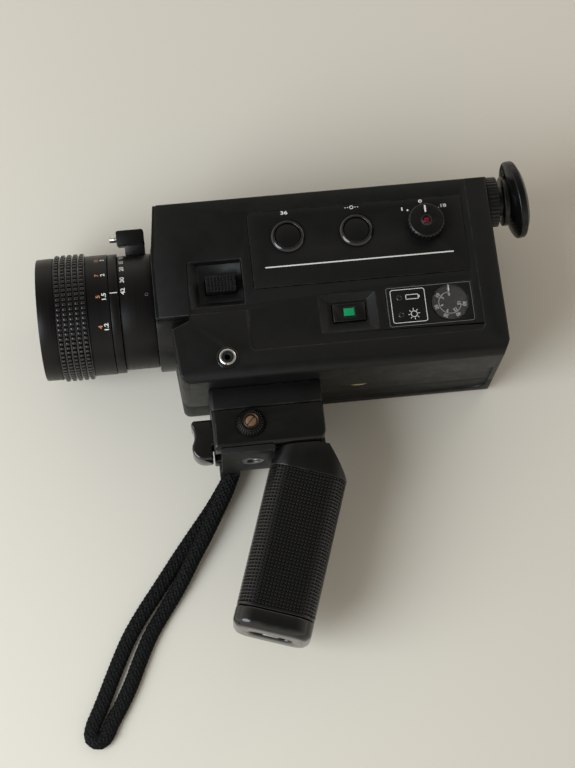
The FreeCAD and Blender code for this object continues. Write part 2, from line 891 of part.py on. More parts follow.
def check_middle_x():
    return (check_left_x + check_right_x) / 2


def check_middle_y():
    return (check_low_y + check_high_y) / 2


def battery_check_window():
    top = side_depth - dish_depth + 1.0
    half = check_window_size / 2
    return box(check_middle_x() - half, check_middle_x() + half, check_middle_y() - half,
               check_middle_y() + half, top - 1.0, top - 0.1)


def indicator_plate():
    plate = rounded_plate(indicator_left_x, indicator_right_x, indicator_low_y, indicator_high_y,
                          side_depth - indicator_thickness, side_depth, plate_corner)
    return plate.cut(plate_hole(counter_x, counter_y, counter_radius + 0.15))


def counter_window():
    return cylinder(counter_radius, counter_window_thickness,
                    V(counter_x, counter_y, side_depth - counter_window_thickness + 0.2), Z_AXIS)


def counter_disc():
    top = side_depth - counter_window_thickness + 0.2 - gap
    low = top - counter_disc_thickness
    disc = cylinder(counter_radius - 0.2, counter_disc_thickness, V(counter_x, counter_y, low), Z_AXIS)
    foot = board_top + gap
    shaft = cylinder(counter_shaft_radius, low - foot, V(counter_x, counter_y, foot), Z_AXIS)
    return disc.fuse(shaft)


def remote_jack():
    # Threaded sleeve with a round nut, on the raised border
    nut = cylinder(jack_nut_radius, jack_nut_height, V(jack_x, jack_y, border_height), Z_AXIS)
    sleeve = cylinder(jack_barrel_radius, jack_depth, V(jack_x, jack_y, border_height - jack_depth), Z_AXIS)
    foot = V(jack_x, jack_y, border_height - jack_depth + 1.5)
    bore = cylinder(jack_bore, jack_depth + jack_nut_height, foot, Z_AXIS)
    return nut.fuse(sleeve).cut(bore)


def circuit_board():
    # Board behind the controls, with a switch under each of them
    low_y = -13.0
    board = box(body_front + 60, body_front + 148, low_y, 25.0, board_top - board_thickness, board_top)
    lower = box(body_front + 82, body_front + 148, -26.0, low_y, board_top - board_thickness, board_top)
    idler_bearing = cylinder(shaft_radius + running, 10, V(idler_x(), idler_y(), board_top - 5), Z_AXIS)
    return board.fuse(lower).cut(idler_bearing).removeSplitter()


def film_chamber():
    # Open box that the cartridge drops into from the right side
    x0 = chamber_front_x
    x1 = x0 + cartridge_length + 2 * chamber_play
    half = cartridge_height / 2 + chamber_play
    floor = chamber_floor
    low = floor - cartridge_depth - 8.0
    outer = box(x0 - chamber_wall, x1 + chamber_wall, -half - chamber_wall, half + chamber_wall,
                low, floor + chamber_wall)
    inner = box(x0, x1, -half, half, low - 1, floor)
    chamber = outer.cut(inner)
    spindle = cylinder(2.5 + running, 10, V(spindle_x, spindle_y, floor - 2), Z_AXIS)
    window = box(x0 - 5, x0 + 1, -9, 9, axis_height - 6, axis_height + 6)
    shutter_bearing = cylinder(shaft_radius + running, 10, V(x0 - 5, shutter_y, shutter_z), X_AXIS)
    idler_bearing = cylinder(shaft_radius + running, 10, V(idler_x(), idler_y(), floor - 1), Z_AXIS)
    for tool in (spindle, window, shutter_bearing, idler_bearing):
        chamber = chamber.cut(tool)
    return chamber


def film_gate():
    # Plate with the film aperture, standing in the chamber's front window
    x1 = chamber_front_x - chamber_wall
    plate = box(x1 - 1.2, x1, -12, 12, axis_height - 7.5, axis_height + 7.5)
    aperture = box(x1 - 3, x1 + 2, -2.1, 2.1, axis_height - 2.9, axis_height + 2.9)
    half = claw_slot / 2
    slot = box(x1 - 3, x1 + 2, claw_y - half, claw_y + half, axis_height + 3.6, axis_height + 4.8)
    return plate.cut(aperture).cut(slot)


def film_claw():
    # Claw bar in front of the gate, whose tooth reaches through the slot
    face = chamber_front_x - chamber_wall - 1.2 - gap
    bar = box(face - 0.8, face, claw_y - 8.1, claw_y + 3.1, axis_height + 3.4, axis_height + 5.0)
    tooth = box(face - 0.8, face + 1.9, claw_y - 0.5, claw_y + 0.5, axis_height + 3.8, axis_height + 4.6)
    return bar.fuse(tooth)


def shutter():
    # Half-disc blade behind the lens tube, drive gear and shaft in one
    centre = V(shutter_x, shutter_y, shutter_z)
    blade = cylinder(shutter_radius, 0.6, centre, X_AXIS)
    mask = box(shutter_x - 1, shutter_x + 2, shutter_y - 30, shutter_y - 3.5, shutter_z - 30, shutter_z + 30)
    hub = cylinder(4.5, 0.6, centre, X_AXIS)
    blade = blade.cut(mask).fuse(hub)
    wheel = turn_z_to_x(gear(shutter_teeth, gear_width, 0))
    wheel.translate(V(shutter_gear_x, shutter_y, shutter_z))
    shaft = cylinder(shaft_radius, chamber_front_x - gap - drive_plate_x,
                     V(drive_plate_x, shutter_y, shutter_z), X_AXIS)
    return blade.fuse(wheel).fuse(shaft)


def motor_y():
    reach = gear_module * (shutter_teeth + motor_teeth) / 2
    rise = motor_z - shutter_z
    return shutter_y - math.sqrt(reach * reach - rise * rise)


def drive_motor():
    front = V(motor_front_x, motor_y(), motor_z)
    return tube(motor_radius, shaft_radius + running, motor_length, front, X_AXIS)


def motor_rotor():
    # Motor shaft with the pinion in front and the worm behind
    y = motor_y()
    start = shutter_gear_x - 0.6
    worm_x = idler_x() - worm_length / 2
    shaft = cylinder(shaft_radius, worm_x - start + 0.5, V(start, y, motor_z), X_AXIS)
    pinion = turn_z_to_x(gear(motor_teeth, gear_width + 1.0, 0))
    line = math.degrees(math.atan2(shutter_z - motor_z, shutter_y - y))
    tooth_step = 360.0 / motor_teeth
    pinion.rotate(V(0, 0, 0), X_AXIS, pinion_phase(line, tooth_step))
    pinion.translate(V(shutter_gear_x - 0.5, y, motor_z))
    worm = cylinder(worm_core_radius, worm_length, V(worm_x, y, motor_z), X_AXIS)
    return shaft.fuse(pinion).fuse(worm)


def pinion_phase(line, tooth_step):
    # Puts a gap of the pinion opposite the tooth, or gap, that the wheel shows along the line of centres
    wheel_step = 360.0 / shutter_teeth
    # Drawn about +Z and laid along +X, each gear has a tooth at -90 degrees, measured from +Y towards +Z
    wheel_offset = ((line + 180.0 + 90.0) / wheel_step) % 1.0
    pinion_offset = ((line + 90.0) / tooth_step) % 1.0
    return (pinion_offset - 0.5 + wheel_offset) * tooth_step


def idler_x():
    reach = gear_module * (idler_teeth + spindle_teeth) / 2
    drop = spindle_y - idler_y()
    return spindle_x + math.sqrt(reach * reach - drop * drop)


def idler_y():
    return motor_y() + worm_radius + gear_module * worm_wheel_teeth / 2


def idler_gear():
    # Worm wheel and pinion on one axle
    low = chamber_floor + chamber_wall + 1.0
    wheel = gear(worm_wheel_teeth, gear_width, 0)
    wheel.translate(V(0, 0, motor_z - gear_width / 2))
    pinion = gear(idler_teeth, gear_width + 0.6, 0)
    pinion.translate(V(0, 0, low))
    axle = cylinder(shaft_radius, board_top - gap - chamber_floor - gap, V(0, 0, chamber_floor + gap), Z_AXIS)
    solid = wheel.fuse(pinion).fuse(axle)
    dx = spindle_x - idler_x()
    dy = spindle_y - idler_y()
    line = math.degrees(math.atan2(dy, dx))
    step = 360.0 / idler_teeth
    wheel_offset = ((line + 180.0) / (360.0 / spindle_teeth)) % 1.0
    own_offset = (line / step) % 1.0
    solid.rotate(V(0, 0, 0), Z_AXIS, (own_offset - 0.5 + wheel_offset) * step)
    solid.translate(V(idler_x(), idler_y(), 0))
    return solid


def take_up_spindle():
    # Three-toothed spindle inside the chamber, driven by a flat gear behind its floor
    floor = chamber_floor
    low = floor + chamber_wall + 1.0
    wheel = gear(spindle_teeth, gear_width, 0)
    wheel.translate(V(0, 0, low + 0.3))
    shaft = cylinder(2.5, low + 0.3 - (floor - 5.5), V(0, 0, floor - 5.5), Z_AXIS)
    solid = wheel.fuse(shaft)
    for place in range(3):
        fin = box(0, 4.2, -0.6, 0.6, floor - 5.0, floor - 1.0)
        fin.rotate(V(0, 0, 0), Z_AXIS, 120 * place)
        solid = solid.fuse(fin)
    solid.translate(V(spindle_x, spindle_y, 0))
    return solid


def drive_plate():
    # Plate across the casing that carries the shafts and the end of the lens tube
    x0 = drive_plate_x
    plate = box(x0, x0 + drive_plate_thickness, body_bottom + shell_wall, drive_plate_top_y,
                drive_plate_far_z, drive_plate_near_z)
    plate = plate.cut(cylinder(rear_tube_radius + running, 10, V(x0 - 5, 0, axis_height), X_AXIS))
    return plate.cut(cylinder(shaft_radius + running, 10, V(x0 - 5, shutter_y, shutter_z), X_AXIS))


def finder_tube():
    front = V(finder_front_x, finder_y, finder_z)
    return tube(finder_radius, finder_bore, body_rear - finder_front_x, front, X_AXIS)


def finder_prism():
    x1 = finder_front_x
    return box(x1 - 12.0, x1, finder_y - 7.0, finder_y + 5.0, finder_z - 6.5, finder_z + 6.5)


def dioptre_ring():
    # Knurled ring with the neck, the flange behind it and the eyecup's seat
    x = body_rear + ring_gap
    neck = x + dioptre_length
    flange = neck + eye_neck_length
    end = flange + eye_flange_length
    ring = cylinder(dioptre_radius, dioptre_length, V(0, 0, 0), Z_AXIS)
    steps = [360.0 * place / dioptre_flutes for place in range(dioptre_flutes)]
    ring = turn_z_to_x(ring.cut(flutes(dioptre_radius, flute_depth, dioptre_length, steps)))
    ring.translate(V(x, finder_y, finder_z))
    spigot_x = body_rear - spigot_length
    ring = ring.fuse(cylinder(finder_bore - running, x - spigot_x, V(spigot_x, finder_y, finder_z), X_AXIS))
    ring = ring.fuse(cylinder(eye_neck_radius, eye_neck_length, V(neck, finder_y, finder_z), X_AXIS))
    ring = ring.fuse(cylinder(dioptre_radius - 0.2, eye_flange_length, V(flange, finder_y, finder_z), X_AXIS))
    stub = tube(eye_stub_radius, eye_lens_radius, eye_stub_length, V(end, finder_y, finder_z), X_AXIS)
    ring = ring.fuse(stub)
    sight = cylinder(eye_bore, 60, V(spigot_x - 1, finder_y, finder_z), X_AXIS)
    return ring.cut(sight).removeSplitter()


def eyepiece_lens():
    x = body_rear + ring_gap + dioptre_length + eye_neck_length + eye_flange_length
    return cylinder(eye_lens_radius - 0.1, 2.0, V(x, finder_y, finder_z), X_AXIS)


def eyecup():
    # Flared rubber cup with a thick rounded rim, tipped a little forward at its top
    x0 = body_rear + ring_gap + dioptre_length + eye_neck_length + eye_flange_length
    outer = [(-1.0, 0.0), (-1.0, 11.5), (1.2, eyecup_radius)]
    rim = [(4.4, eyecup_radius), (6.4, 15.0), (3.6, 9.0)]
    inner = [(3.6, 0.0)]
    corners = [V(x, radius, 0) for x, radius in outer + rim + inner]
    face = Part.Face(Part.makePolygon(corners + corners[:1]))
    cup = face.revolve(V(0, 0, 0), X_AXIS, 360)
    cup.rotate(V(0, 0, 0), Z_AXIS, eyecup_tilt)
    cup.translate(V(x0 + 1.2, finder_y, finder_z))
    behind = box(x0, x0 + 20, finder_y - 30, finder_y + 30, finder_z - 30, finder_z + 30)
    stub = cylinder(eye_stub_radius + running, 40, V(x0 - 10, finder_y, finder_z), X_AXIS)
    return cup.common(behind).cut(stub)


def cartridge_low():
    return chamber_floor - cartridge_depth


def door_pad(z0):
    # Rib frame inside the door that holds the cartridge against the chamber's floor
    x0 = chamber_front_x + pad_margin
    x1 = chamber_front_x + cartridge_length + 2 * chamber_play - pad_margin
    z1 = cartridge_low() - gap
    frame = rounded_plate(x0, x1, -pad_half_width, pad_half_width, z0, z1, 4.0)
    inner = rounded_plate(x0 + pad_wall, x1 - pad_wall, pad_wall - pad_half_width, pad_half_width - pad_wall,
                          z0 - 1, z1 + 1, 4.0 - pad_wall)
    return frame.cut(inner)


def film_door():
    # Door leaf with its hinge knuckle, and a thickened pad that holds the cartridge down
    y0 = door_low_y + gap
    y1 = door_high_y - gap
    top = door_sink + door_thickness
    leaf = box(door_left_x + gap, door_hinge_x, y0, y1, door_sink, top)
    for y in (y0 - 1, door_high_y - hinge_bearing - gap):
        notch = box(door_hinge_x - knuckle_radius - gap, door_hinge_x + 5, y, y + hinge_bearing + 1 + 0.01,
                    door_sink - 1, top + 4)
        leaf = leaf.cut(notch)
    knuckle_start = door_low_y + hinge_bearing + gap
    knuckle_length = door_high_y - door_low_y - 2 * hinge_bearing - 2 * gap
    knuckle = cylinder(knuckle_radius, knuckle_length, V(door_hinge_x, knuckle_start, hinge_height), Y_AXIS)
    pad = door_pad(top)
    hole = box(window_x - window_length / 2, window_x + window_length / 2, -window_height / 2,
               window_height / 2, -1, 10)
    slot_x = door_left_x + latch_margin
    slot_half = latch_width / 2 + gap
    slot_end = slot_x + latch_length + latch_travel + 2 * gap
    slot = box(slot_x, slot_end, -slot_half, slot_half, -1, door_sink + 0.8)
    leaf = leaf.fuse(knuckle).fuse(pad).cut(hole).cut(slot)
    bore = cylinder(hinge_pin_radius + running, 100, V(door_hinge_x, -50, hinge_height), Y_AXIS)
    return leaf.cut(bore).removeSplitter()


def door_window():
    half_x = window_length / 2 - 0.1
    half_y = window_height / 2 - 0.1
    return box(window_x - half_x, window_x + half_x, -half_y, half_y, door_sink + 0.3,
               door_sink + door_thickness - 0.3)


def door_latch():
    x0 = door_left_x + latch_margin + gap
    return box(x0, x0 + latch_length, -latch_width / 2, latch_width / 2, door_sink, door_sink + 0.7)


def door_hinge_pin():
    foot = V(door_hinge_x, door_low_y, hinge_height)
    return cylinder(hinge_pin_radius, door_high_y - door_low_y, foot, Y_AXIS)


def handle_upper():
    block = box(block_front_x, block_rear_x, block_seam_y, body_bottom, block_far_z, block_near_z)
    front = [edge for edge in block.Edges
             if abs(edge.tangentAt(edge.FirstParameter).y) > 0.9 and edge.CenterOfMass.x < block_front_x + 1]
    return block.makeFillet(block_edge_round, front)


def handle_lower():
    # Lower block, hollow behind the trigger, slotted at the rear for the grip's knuckle
    block = box(block_front_x + 0.3, block_rear_x, block_floor_y, block_seam_y, block_far_z, block_near_z)
    rounded = []
    for edge in block.Edges:
        tangent = edge.tangentAt(edge.FirstParameter)
        middle = edge.CenterOfMass
        front_edge = abs(tangent.y) > 0.9 and middle.x < block_front_x + 1
        floor_edge = abs(tangent.x) > 0.9 and middle.y < block_floor_y + 1
        if front_edge or floor_edge:
            rounded.append(edge)
    block = block.makeFillet(block_edge_round, rounded)
    middle = (block_far_z + block_near_z) / 2
    # Cheeks rounded about the grip's pivot
    corner = box(grip_pivot_x, block_rear_x + 1, block_floor_y - 1, grip_pivot_y,
                 block_far_z - 1, block_near_z + 1)
    cheek = cylinder(block_rear_x - grip_pivot_x, 60, V(grip_pivot_x, grip_pivot_y, 0), Z_AXIS)
    block = block.cut(corner.cut(cheek))
    half = trigger_width / 2 + gap
    trigger_slot = box(block_front_x - 1, block_front_x + trigger_stem_length + trigger_travel + 1.0,
                       block_floor_y - 1, trigger_top_y + gap, middle - half, middle + half)
    knuckle_half = knuckle_width / 2 + gap
    knuckle_slot = box(grip_pivot_x - 13.0, block_rear_x + 1, block_floor_y - 1, block_seam_y - 2.0,
                       middle - knuckle_half, middle + knuckle_half)
    bush = cylinder(tripod_bush_radius, tripod_depth, V(tripod_x, block_floor_y, middle), Y_AXIS)
    socket = lock_screw_depth + 1.0
    socket_foot = V(lock_dial_x, lock_dial_y, block_near_z - socket)
    screw = cylinder(lock_screw_radius + running, socket, socket_foot, Z_AXIS)
    pin = cylinder(grip_pin_radius, block_near_z - grip_pin_cover, V(grip_pivot_x, grip_pivot_y, 0), Z_AXIS)
    for tool in (trigger_slot, knuckle_slot, bush, screw, pin):
        block = block.cut(tool)
    return block.removeSplitter()


def base_plate():
    middle = (block_far_z + block_near_z) / 2
    low = block_floor_y - base_plate_thickness
    plate = box(base_plate_front_x, base_plate_rear_x, low, block_floor_y,
                block_far_z + 0.4, block_near_z - 0.4)
    hole = cylinder(tripod_bush_radius, 10, V(tripod_x, low - 1, middle), Y_AXIS)
    plate = plate.cut(hole)
    # The strap's lug stands on the plate's far edge, beside the block
    lug_x = strap_route[0][0] - lug_width / 2
    tab = box(lug_x, lug_x + lug_width, low, block_floor_y, lug_floor, block_far_z + 1)
    clamp = box(lug_x, lug_x + lug_width, low, low + lug_depth, lug_floor, block_far_z - 0.1)
    return plate.fuse(tab).fuse(clamp).removeSplitter()


def tripod_bush():
    middle = (block_far_z + block_near_z) / 2
    low = block_floor_y - base_plate_thickness
    length = tripod_depth + base_plate_thickness
    outer = cylinder(tripod_bush_radius, length, V(tripod_x, low, middle), Y_AXIS)
    return outer.cut(cylinder(tripod_radius, length - 1.5, V(tripod_x, low, middle), Y_AXIS))


def trigger():
    # Finger key with a hollowed front and a rounded nose, on a stem that slides into the block
    middle = (block_far_z + block_near_z) / 2
    x0 = trigger_front_x
    rear = block_front_x - 0.4
    top = V(x0 + 1.6, trigger_top_y, 0)
    top_low = V(x0 + 0.2, trigger_top_y - 1.6, 0)
    hollow = V(x0 + 1.6, (trigger_top_y + trigger_floor_y) / 2 + 2.0, 0)
    nose_top = V(x0 + 0.3, trigger_floor_y + 7.5, 0)
    nose_mid = V(x0 + 1.3, trigger_floor_y + 2.4, 0)
    nose_low = V(x0 + 5.5, trigger_floor_y, 0)
    heel = V(rear, trigger_floor_y, 0)
    heel_top = V(rear, trigger_top_y, 0)
    edges = [
        Part.LineSegment(top, top_low).toShape(),
        Part.Arc(top_low, hollow, nose_top).toShape(),
        Part.Arc(nose_top, nose_mid, nose_low).toShape(),
        Part.LineSegment(nose_low, heel).toShape(),
        Part.LineSegment(heel, heel_top).toShape(),
        Part.LineSegment(heel_top, top).toShape(),
    ]
    key = Part.Face(Part.Wire(edges)).extrude(V(0, 0, trigger_width))
    key.translate(V(0, 0, middle - trigger_width / 2))
    stem = box(rear - 1, block_front_x + trigger_stem_length, block_floor_y + 5.0, trigger_top_y,
               middle - trigger_width / 2, middle + trigger_width / 2)
    return key.fuse(stem).removeSplitter()


def trigger_lock_dial():
    foot = V(lock_dial_x, lock_dial_y, block_near_z + 0.2)
    dial = cylinder(lock_dial_radius, lock_dial_height, foot, Z_AXIS)
    rim = [e for e in dial.Edges if e.Closed and e.CenterOfMass.z > block_near_z + lock_dial_height]
    dial = dial.makeChamfer(0.7, rim)
    steps = [360.0 * place / lock_dial_flutes for place in range(lock_dial_flutes)]
    grooves = flutes(lock_dial_radius, flute_depth, lock_dial_height + 2, steps)
    grooves.translate(V(lock_dial_x, lock_dial_y, block_near_z - 1))
    dial = dial.cut(grooves)
    hole = cylinder(lock_screw_radius + running, 10, V(lock_dial_x, lock_dial_y, block_near_z - 1), Z_AXIS)
    return dial.cut(hole)


def trigger_lock_screw():
    top = block_near_z + lock_dial_height - 0.4
    foot = block_near_z - lock_screw_depth
    screw = cylinder(lock_screw_radius, top - foot, V(lock_dial_x, lock_dial_y, foot), Z_AXIS)
    slot = box(-4, 4, -0.35, 0.35, top - 0.8, top + 1)
    slot.rotate(V(0, 0, 0), Z_AXIS, 45)
    slot.translate(V(lock_dial_x, lock_dial_y, 0))
    return screw.cut(slot)


def grip_section(inset, s):
    # Rounded rectangle across the grip at the distance s below its pivot
    x0 = grip_front_t + inset
    x1 = grip_rear_t - inset
    half = grip_width / 2 - inset
    r = grip_corner - inset
    k = r * (1 - math.sqrt(0.5))
    y = -s
    edges = []
    corners = ((x1, half, -1, -1), (x0, half, 1, -1), (x0, -half, 1, 1), (x1, -half, -1, 1))
    ends = []
    for x, z, sx, sz in corners:
        if sx * sz > 0:
            first = V(x, y, z + sz * r)
            last = V(x + sx * r, y, z)
        else:
            first = V(x + sx * r, y, z)
            last = V(x, y, z + sz * r)
        ends.append((first, V(x + sx * k, y, z + sz * k), last))
    for place in range(4):
        first, middle, last = ends[place]
        edges.append(Part.Arc(first, middle, last).toShape())
        edges.append(Part.LineSegment(last, ends[(place + 1) % 4][0]).toShape())
    return Part.Face(Part.Wire(Part.__sortEdges__(edges)))


def grip_bar(inset, s0, s1):
    bar = grip_section(inset, s0).extrude(V(0, s0 - s1, 0))
    bar.translate(V(0, 0, axis_height))
    return bar


def place_grip(shape):
    # From the upright drawing about the pivot to the leaning grip on the camera
    shape.rotate(V(0, 0, 0), Z_AXIS, -grip_lean)
    shape.translate(V(grip_pivot_x, grip_pivot_y, 0))
    return shape


def grip_core():
    # Shoulder, knuckle and battery tube of the grip
    s0 = grip_length_s0
    shoulder = grip_bar(0, 2.0, s0)
    lower = grip_bar(sleeve_thickness + running, s0, s0 + grip_sleeve_length)
    core = place_grip(shoulder.fuse(lower))
    # The shoulder stops under the block when the grip stands, and behind it when the grip is folded
    fold = math.radians(grip_fold_range)
    reach = block_rear_x - grip_pivot_x + gap
    far = 60.0
    normal = V(math.cos(-fold), math.sin(-fold), 0)
    along = V(-normal.y, normal.x, 0)
    start = V(grip_pivot_x, grip_pivot_y, 0) + normal * reach
    keep_low = box(-reach_over, reach_over, -2 * reach_over, block_floor_y - 2 * gap, -10, reach_over)
    cutter = [start + along * far, start - along * far]
    cutter += [start - along * far - normal * far, start + along * far - normal * far]
    above = Part.Face(Part.makePolygon(cutter + cutter[:1])).extrude(V(0, 0, 100))
    core = core.common(keep_low).cut(above)
    nose_x = base_plate_rear_x + 1.0
    nose_y = block_floor_y - base_plate_thickness
    nose = prism([(nose_x - 20, 0), (nose_x, 0), (nose_x, nose_y - 0.4), (nose_x - 3.6, nose_y - 5.6),
                  (nose_x - 20, nose_y - 5.6)], 0, 100)
    core = core.cut(shoulder_rear()).cut(nose)
    middle = axis_height
    half = knuckle_width / 2
    knuckle = cylinder(cheek_radius, knuckle_width, V(grip_pivot_x, grip_pivot_y, middle - half), Z_AXIS)
    neck_points = [(-cheek_radius, 0), (-12.0, -15.0), (12.0, -15.0), (cheek_radius, 0)]
    neck = prism(neck_points, middle - half, middle + half)
    neck = place_grip(neck)
    core = core.fuse(knuckle).fuse(neck)
    bore = cylinder(grip_pin_radius + running, 60, V(grip_pivot_x, grip_pivot_y, 0), Z_AXIS)
    chamber = cell_space(0, cell_top(), s0 + grip_sleeve_length + 1)
    return core.cut(bore).cut(place_grip(chamber)).removeSplitter()


def cell_top():
    # Distance of the battery chamber's inner end below the pivot
    return grip_length_s0 + grip_sleeve_length - cell_length - cap_plug_length - 1.5


def cell_space(inset, s0, s1):
    # Square room for two by two cells, with corners of the cells' own radius
    side = chamber_side / 2 - inset
    centre_t = (grip_front_t + grip_rear_t) / 2
    room = box(centre_t - side, centre_t + side, -s1, -s0, axis_height - side, axis_height + side)
    upright = [edge for edge in room.Edges if abs(edge.tangentAt(edge.FirstParameter).y) > 0.9]
    return room.makeFillet(cell_diameter / 2, upright)


def shoulder_rear():
    # Slopes the shoulder from the block's rear corner down to the straight rear edge
    top = V(5.6, -2.0, 0)
    middle = V(13.4, -10.7, 0)
    low = V(grip_rear_t, -grip_length_s0 + 1.0, 0)
    out = V(grip_rear_t + 12, -grip_length_s0 + 1.0, 0)
    out_top = V(grip_rear_t + 12, -2.0, 0)
    edges = [
        Part.Arc(top, middle, low).toShape(),
        Part.LineSegment(low, out).toShape(),
        Part.LineSegment(out, out_top).toShape(),
        Part.LineSegment(out_top, top).toShape(),
    ]
    return place_grip(Part.Face(Part.Wire(edges)).extrude(V(0, 0, 100)))


def grip_sleeve():
    s0 = grip_length_s0
    outer = grip_bar(0, s0, s0 + grip_sleeve_length)
    inner = grip_bar(sleeve_thickness, s0 - 1, s0 + grip_sleeve_length + 1)
    return place_grip(outer.cut(inner))


def grip_hinge_pin():
    # Pressed in from the right side, so that the left cheek hides it
    inset = 0.5
    foot = V(grip_pivot_x, grip_pivot_y, block_far_z + inset)
    return cylinder(grip_pin_radius, block_depth - inset - grip_pin_cover, foot, Z_AXIS)


def battery_contacts():
    # Spring plates at the top of the battery chamber
    top = -cell_top()
    centre_t = (grip_front_t + grip_rear_t) / 2
    plates = []
    for side in (-1, 1):
        x = centre_t + side * cell_diameter / 2
        plates.append(place_grip(box(x - 5, x + 5, top - 0.6, top, axis_height - 12, axis_height + 12)))
    return Part.makeCompound(plates)


def base_cap():
    # Cap that closes the battery chamber, with a recess in its end for the turning key
    s1 = grip_length_s0 + grip_sleeve_length + gap
    cap = grip_bar(0, s1, s1 + cap_length)
    end_edges = [e for e in cap.Edges if abs(e.CenterOfMass.y + s1 + cap_length) < 0.01]
    cap = cap.makeChamfer(2.4, end_edges)
    centre_t = (grip_front_t + grip_rear_t) / 2
    plug = cell_space(gap, s1 - cap_plug_length, s1)
    end = -(s1 + cap_length)
    slot = rounded_slot(centre_t, end, cap_slot_length / 2, cap_slot_width / 2, cap_slot_depth)
    return place_grip(cap.fuse(plug).cut(slot).removeSplitter())


def rounded_slot(centre_t, end, half_length, half_width, depth):
    bar = box(centre_t - half_length + half_width, centre_t + half_length - half_width, end - 1, end + depth,
              axis_height - half_width, axis_height + half_width)
    for side in (-1, 1):
        x = centre_t + side * (half_length - half_width)
        bar = bar.fuse(cylinder(half_width, depth + 1, V(x, end - 1, axis_height), Y_AXIS))
    return bar


def cap_key():
    # Bar across the cap's recess, turned a quarter turn to free the cap
    s1 = grip_length_s0 + grip_sleeve_length + gap
    end = -(s1 + cap_length)
    centre_t = (grip_front_t + grip_rear_t) / 2
    half = cap_slot_width / 2 - gap
    disc = cylinder(half, 0.8, V(centre_t, end + cap_slot_depth - 0.8, axis_height), Y_AXIS)
    bar = box(centre_t - half, centre_t + half, end + 0.4, end + cap_slot_depth - 0.8,
              axis_height - 0.7, axis_height + 0.7)
    return place_grip(disc.fuse(bar))


def strap_section(centre, along):
    # Eight-sided outline square to the strap's first run, with one side down
    across = V(along).cross(Z_AXIS).normalize()
    up = V(across).cross(along).normalize()
    reach = strap_width / 2 / math.cos(math.pi / strap_sides)
    corners = []
    for side in range(strap_sides):
        angle = (side + 0.5) * 2 * math.pi / strap_sides
        corners.append(centre + across * (reach * math.cos(angle)) + up * (reach * math.sin(angle)))
    return Part.makePolygon(corners + corners[:1])


def wrist_strap():
    # Limp strap along its route: straight runs joined by tangent arcs
    points = [V(*point) for point in strap_route]
    edges = []
    last = points[0]
    length = 0.0
    radii = []
    for place in range(1, len(points) - 1):
        corner = points[place]
        before = (corner - points[place - 1])
        after = (points[place + 1] - corner)
        turn = before.getAngle(after)
        reach = 0.45 * min(before.Length, after.Length)
        radius = reach / math.tan(turn / 2)
        radii.append(radius)
        start = corner - V(before).normalize() * reach
        end = corner + V(after).normalize() * reach
        inward = (V(after).normalize() - V(before).normalize()).normalize()
        middle = corner + inward * (radius / math.cos(turn / 2) - radius)
        edges.append(Part.LineSegment(last, start).toShape())
        edges.append(Part.Arc(start, middle, end).toShape())
        length += (start - last).Length + radius * turn
        last = end
    edges.append(Part.LineSegment(last, points[-1]).toShape())
    length += (points[-1] - last).Length
    path = Part.Wire(edges)
    ring = strap_section(points[0], points[1] - points[0])
    solid = path.makePipeShell([ring], True, False)
    section = Part.Face(ring).Area
    print("strap radii", " ".join("%.1f" % radius for radius in radii))
    print("strap length %.1f volume %.0f against %.0f" % (length, solid.Volume, section * length))
    x, y, z = strap_route[0]
    behind_lug = box(x - 2 * strap_width, x + 2 * strap_width, y + seat_gap, 0, -1, 20)
    return solid.cut(behind_lug)


NODES = {
    "left_shell": left_shell,
    "right_shell": right_shell,
    "front_plate": front_plate,
    "lens_barrel": lens_barrel,
    "zoom_ring": zoom_ring,
    "zoom_lever": zoom_lever,
    "macro_pin": macro_pin,
    "index_ring": index_ring,
    "focus_ring": focus_ring,
    "front_element": front_element,
    "zoom_group": zoom_group,
    "iris": iris,
    "rear_element": rear_element,
    "control_plate": control_plate,
    "button_bezels": button_bezels,
    "slow_motion_button": lambda: push_button(slow_button_x),
    "backlight_button": lambda: push_button(light_button_x),
    "run_dial": run_dial,
    "run_lamp": run_lamp,
    "zoom_rocker": zoom_rocker,
    "rocker_pin": rocker_pin,
    "battery_check_button": battery_check_button,
    "battery_check_window": battery_check_window,
    "indicator_plate": indicator_plate,
    "counter_window": counter_window,
    "counter_disc": counter_disc,
    "remote_jack": remote_jack,
    "circuit_board": circuit_board,
    "film_chamber": film_chamber,
    "film_gate": film_gate,
    "film_claw": film_claw,
    "shutter": shutter,
    "drive_motor": drive_motor,
    "motor_rotor": motor_rotor,
    "idler_gear": idler_gear,
    "take_up_spindle": take_up_spindle,
    "drive_plate": drive_plate,
    "finder_tube": finder_tube,
    "finder_prism": finder_prism,
    "dioptre_ring": dioptre_ring,
    "eyepiece_lens": eyepiece_lens,
    "eyecup": eyecup,
    "film_door": film_door,
    "door_window": door_window,
    "door_latch": door_latch,
    "door_hinge_pin": door_hinge_pin,
    "handle_upper": handle_upper,
    "handle_lower": handle_lower,
    "base_plate": base_plate,
    "tripod_bush": tripod_bush,
    "trigger": trigger,
    "trigger_lock_dial": trigger_lock_dial,
    "trigger_lock_screw": trigger_lock_screw,
    "grip_core": grip_core,
    "grip_sleeve": grip_sleeve,
    "grip_hinge_pin": grip_hinge_pin,
    "battery_contacts": battery_contacts,
    "base_cap": base_cap,
    "cap_key": cap_key,
    "wrist_strap": wrist_strap,
}

os.makedirs("parts", exist_ok=True)
for name, make in NODES.items():
    shape = make()
    print(name, "solids", len(shape.Solids), "valid", shape.isValid(), "volume %.0f" % shape.Volume)
    shape.exportStep("parts/%s.step" % name)
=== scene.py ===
import json
import math

import bmesh
import bpy
from bpy.props import FloatProperty, FloatVectorProperty, IntProperty, PointerProperty
from mathutils import Matrix, Vector


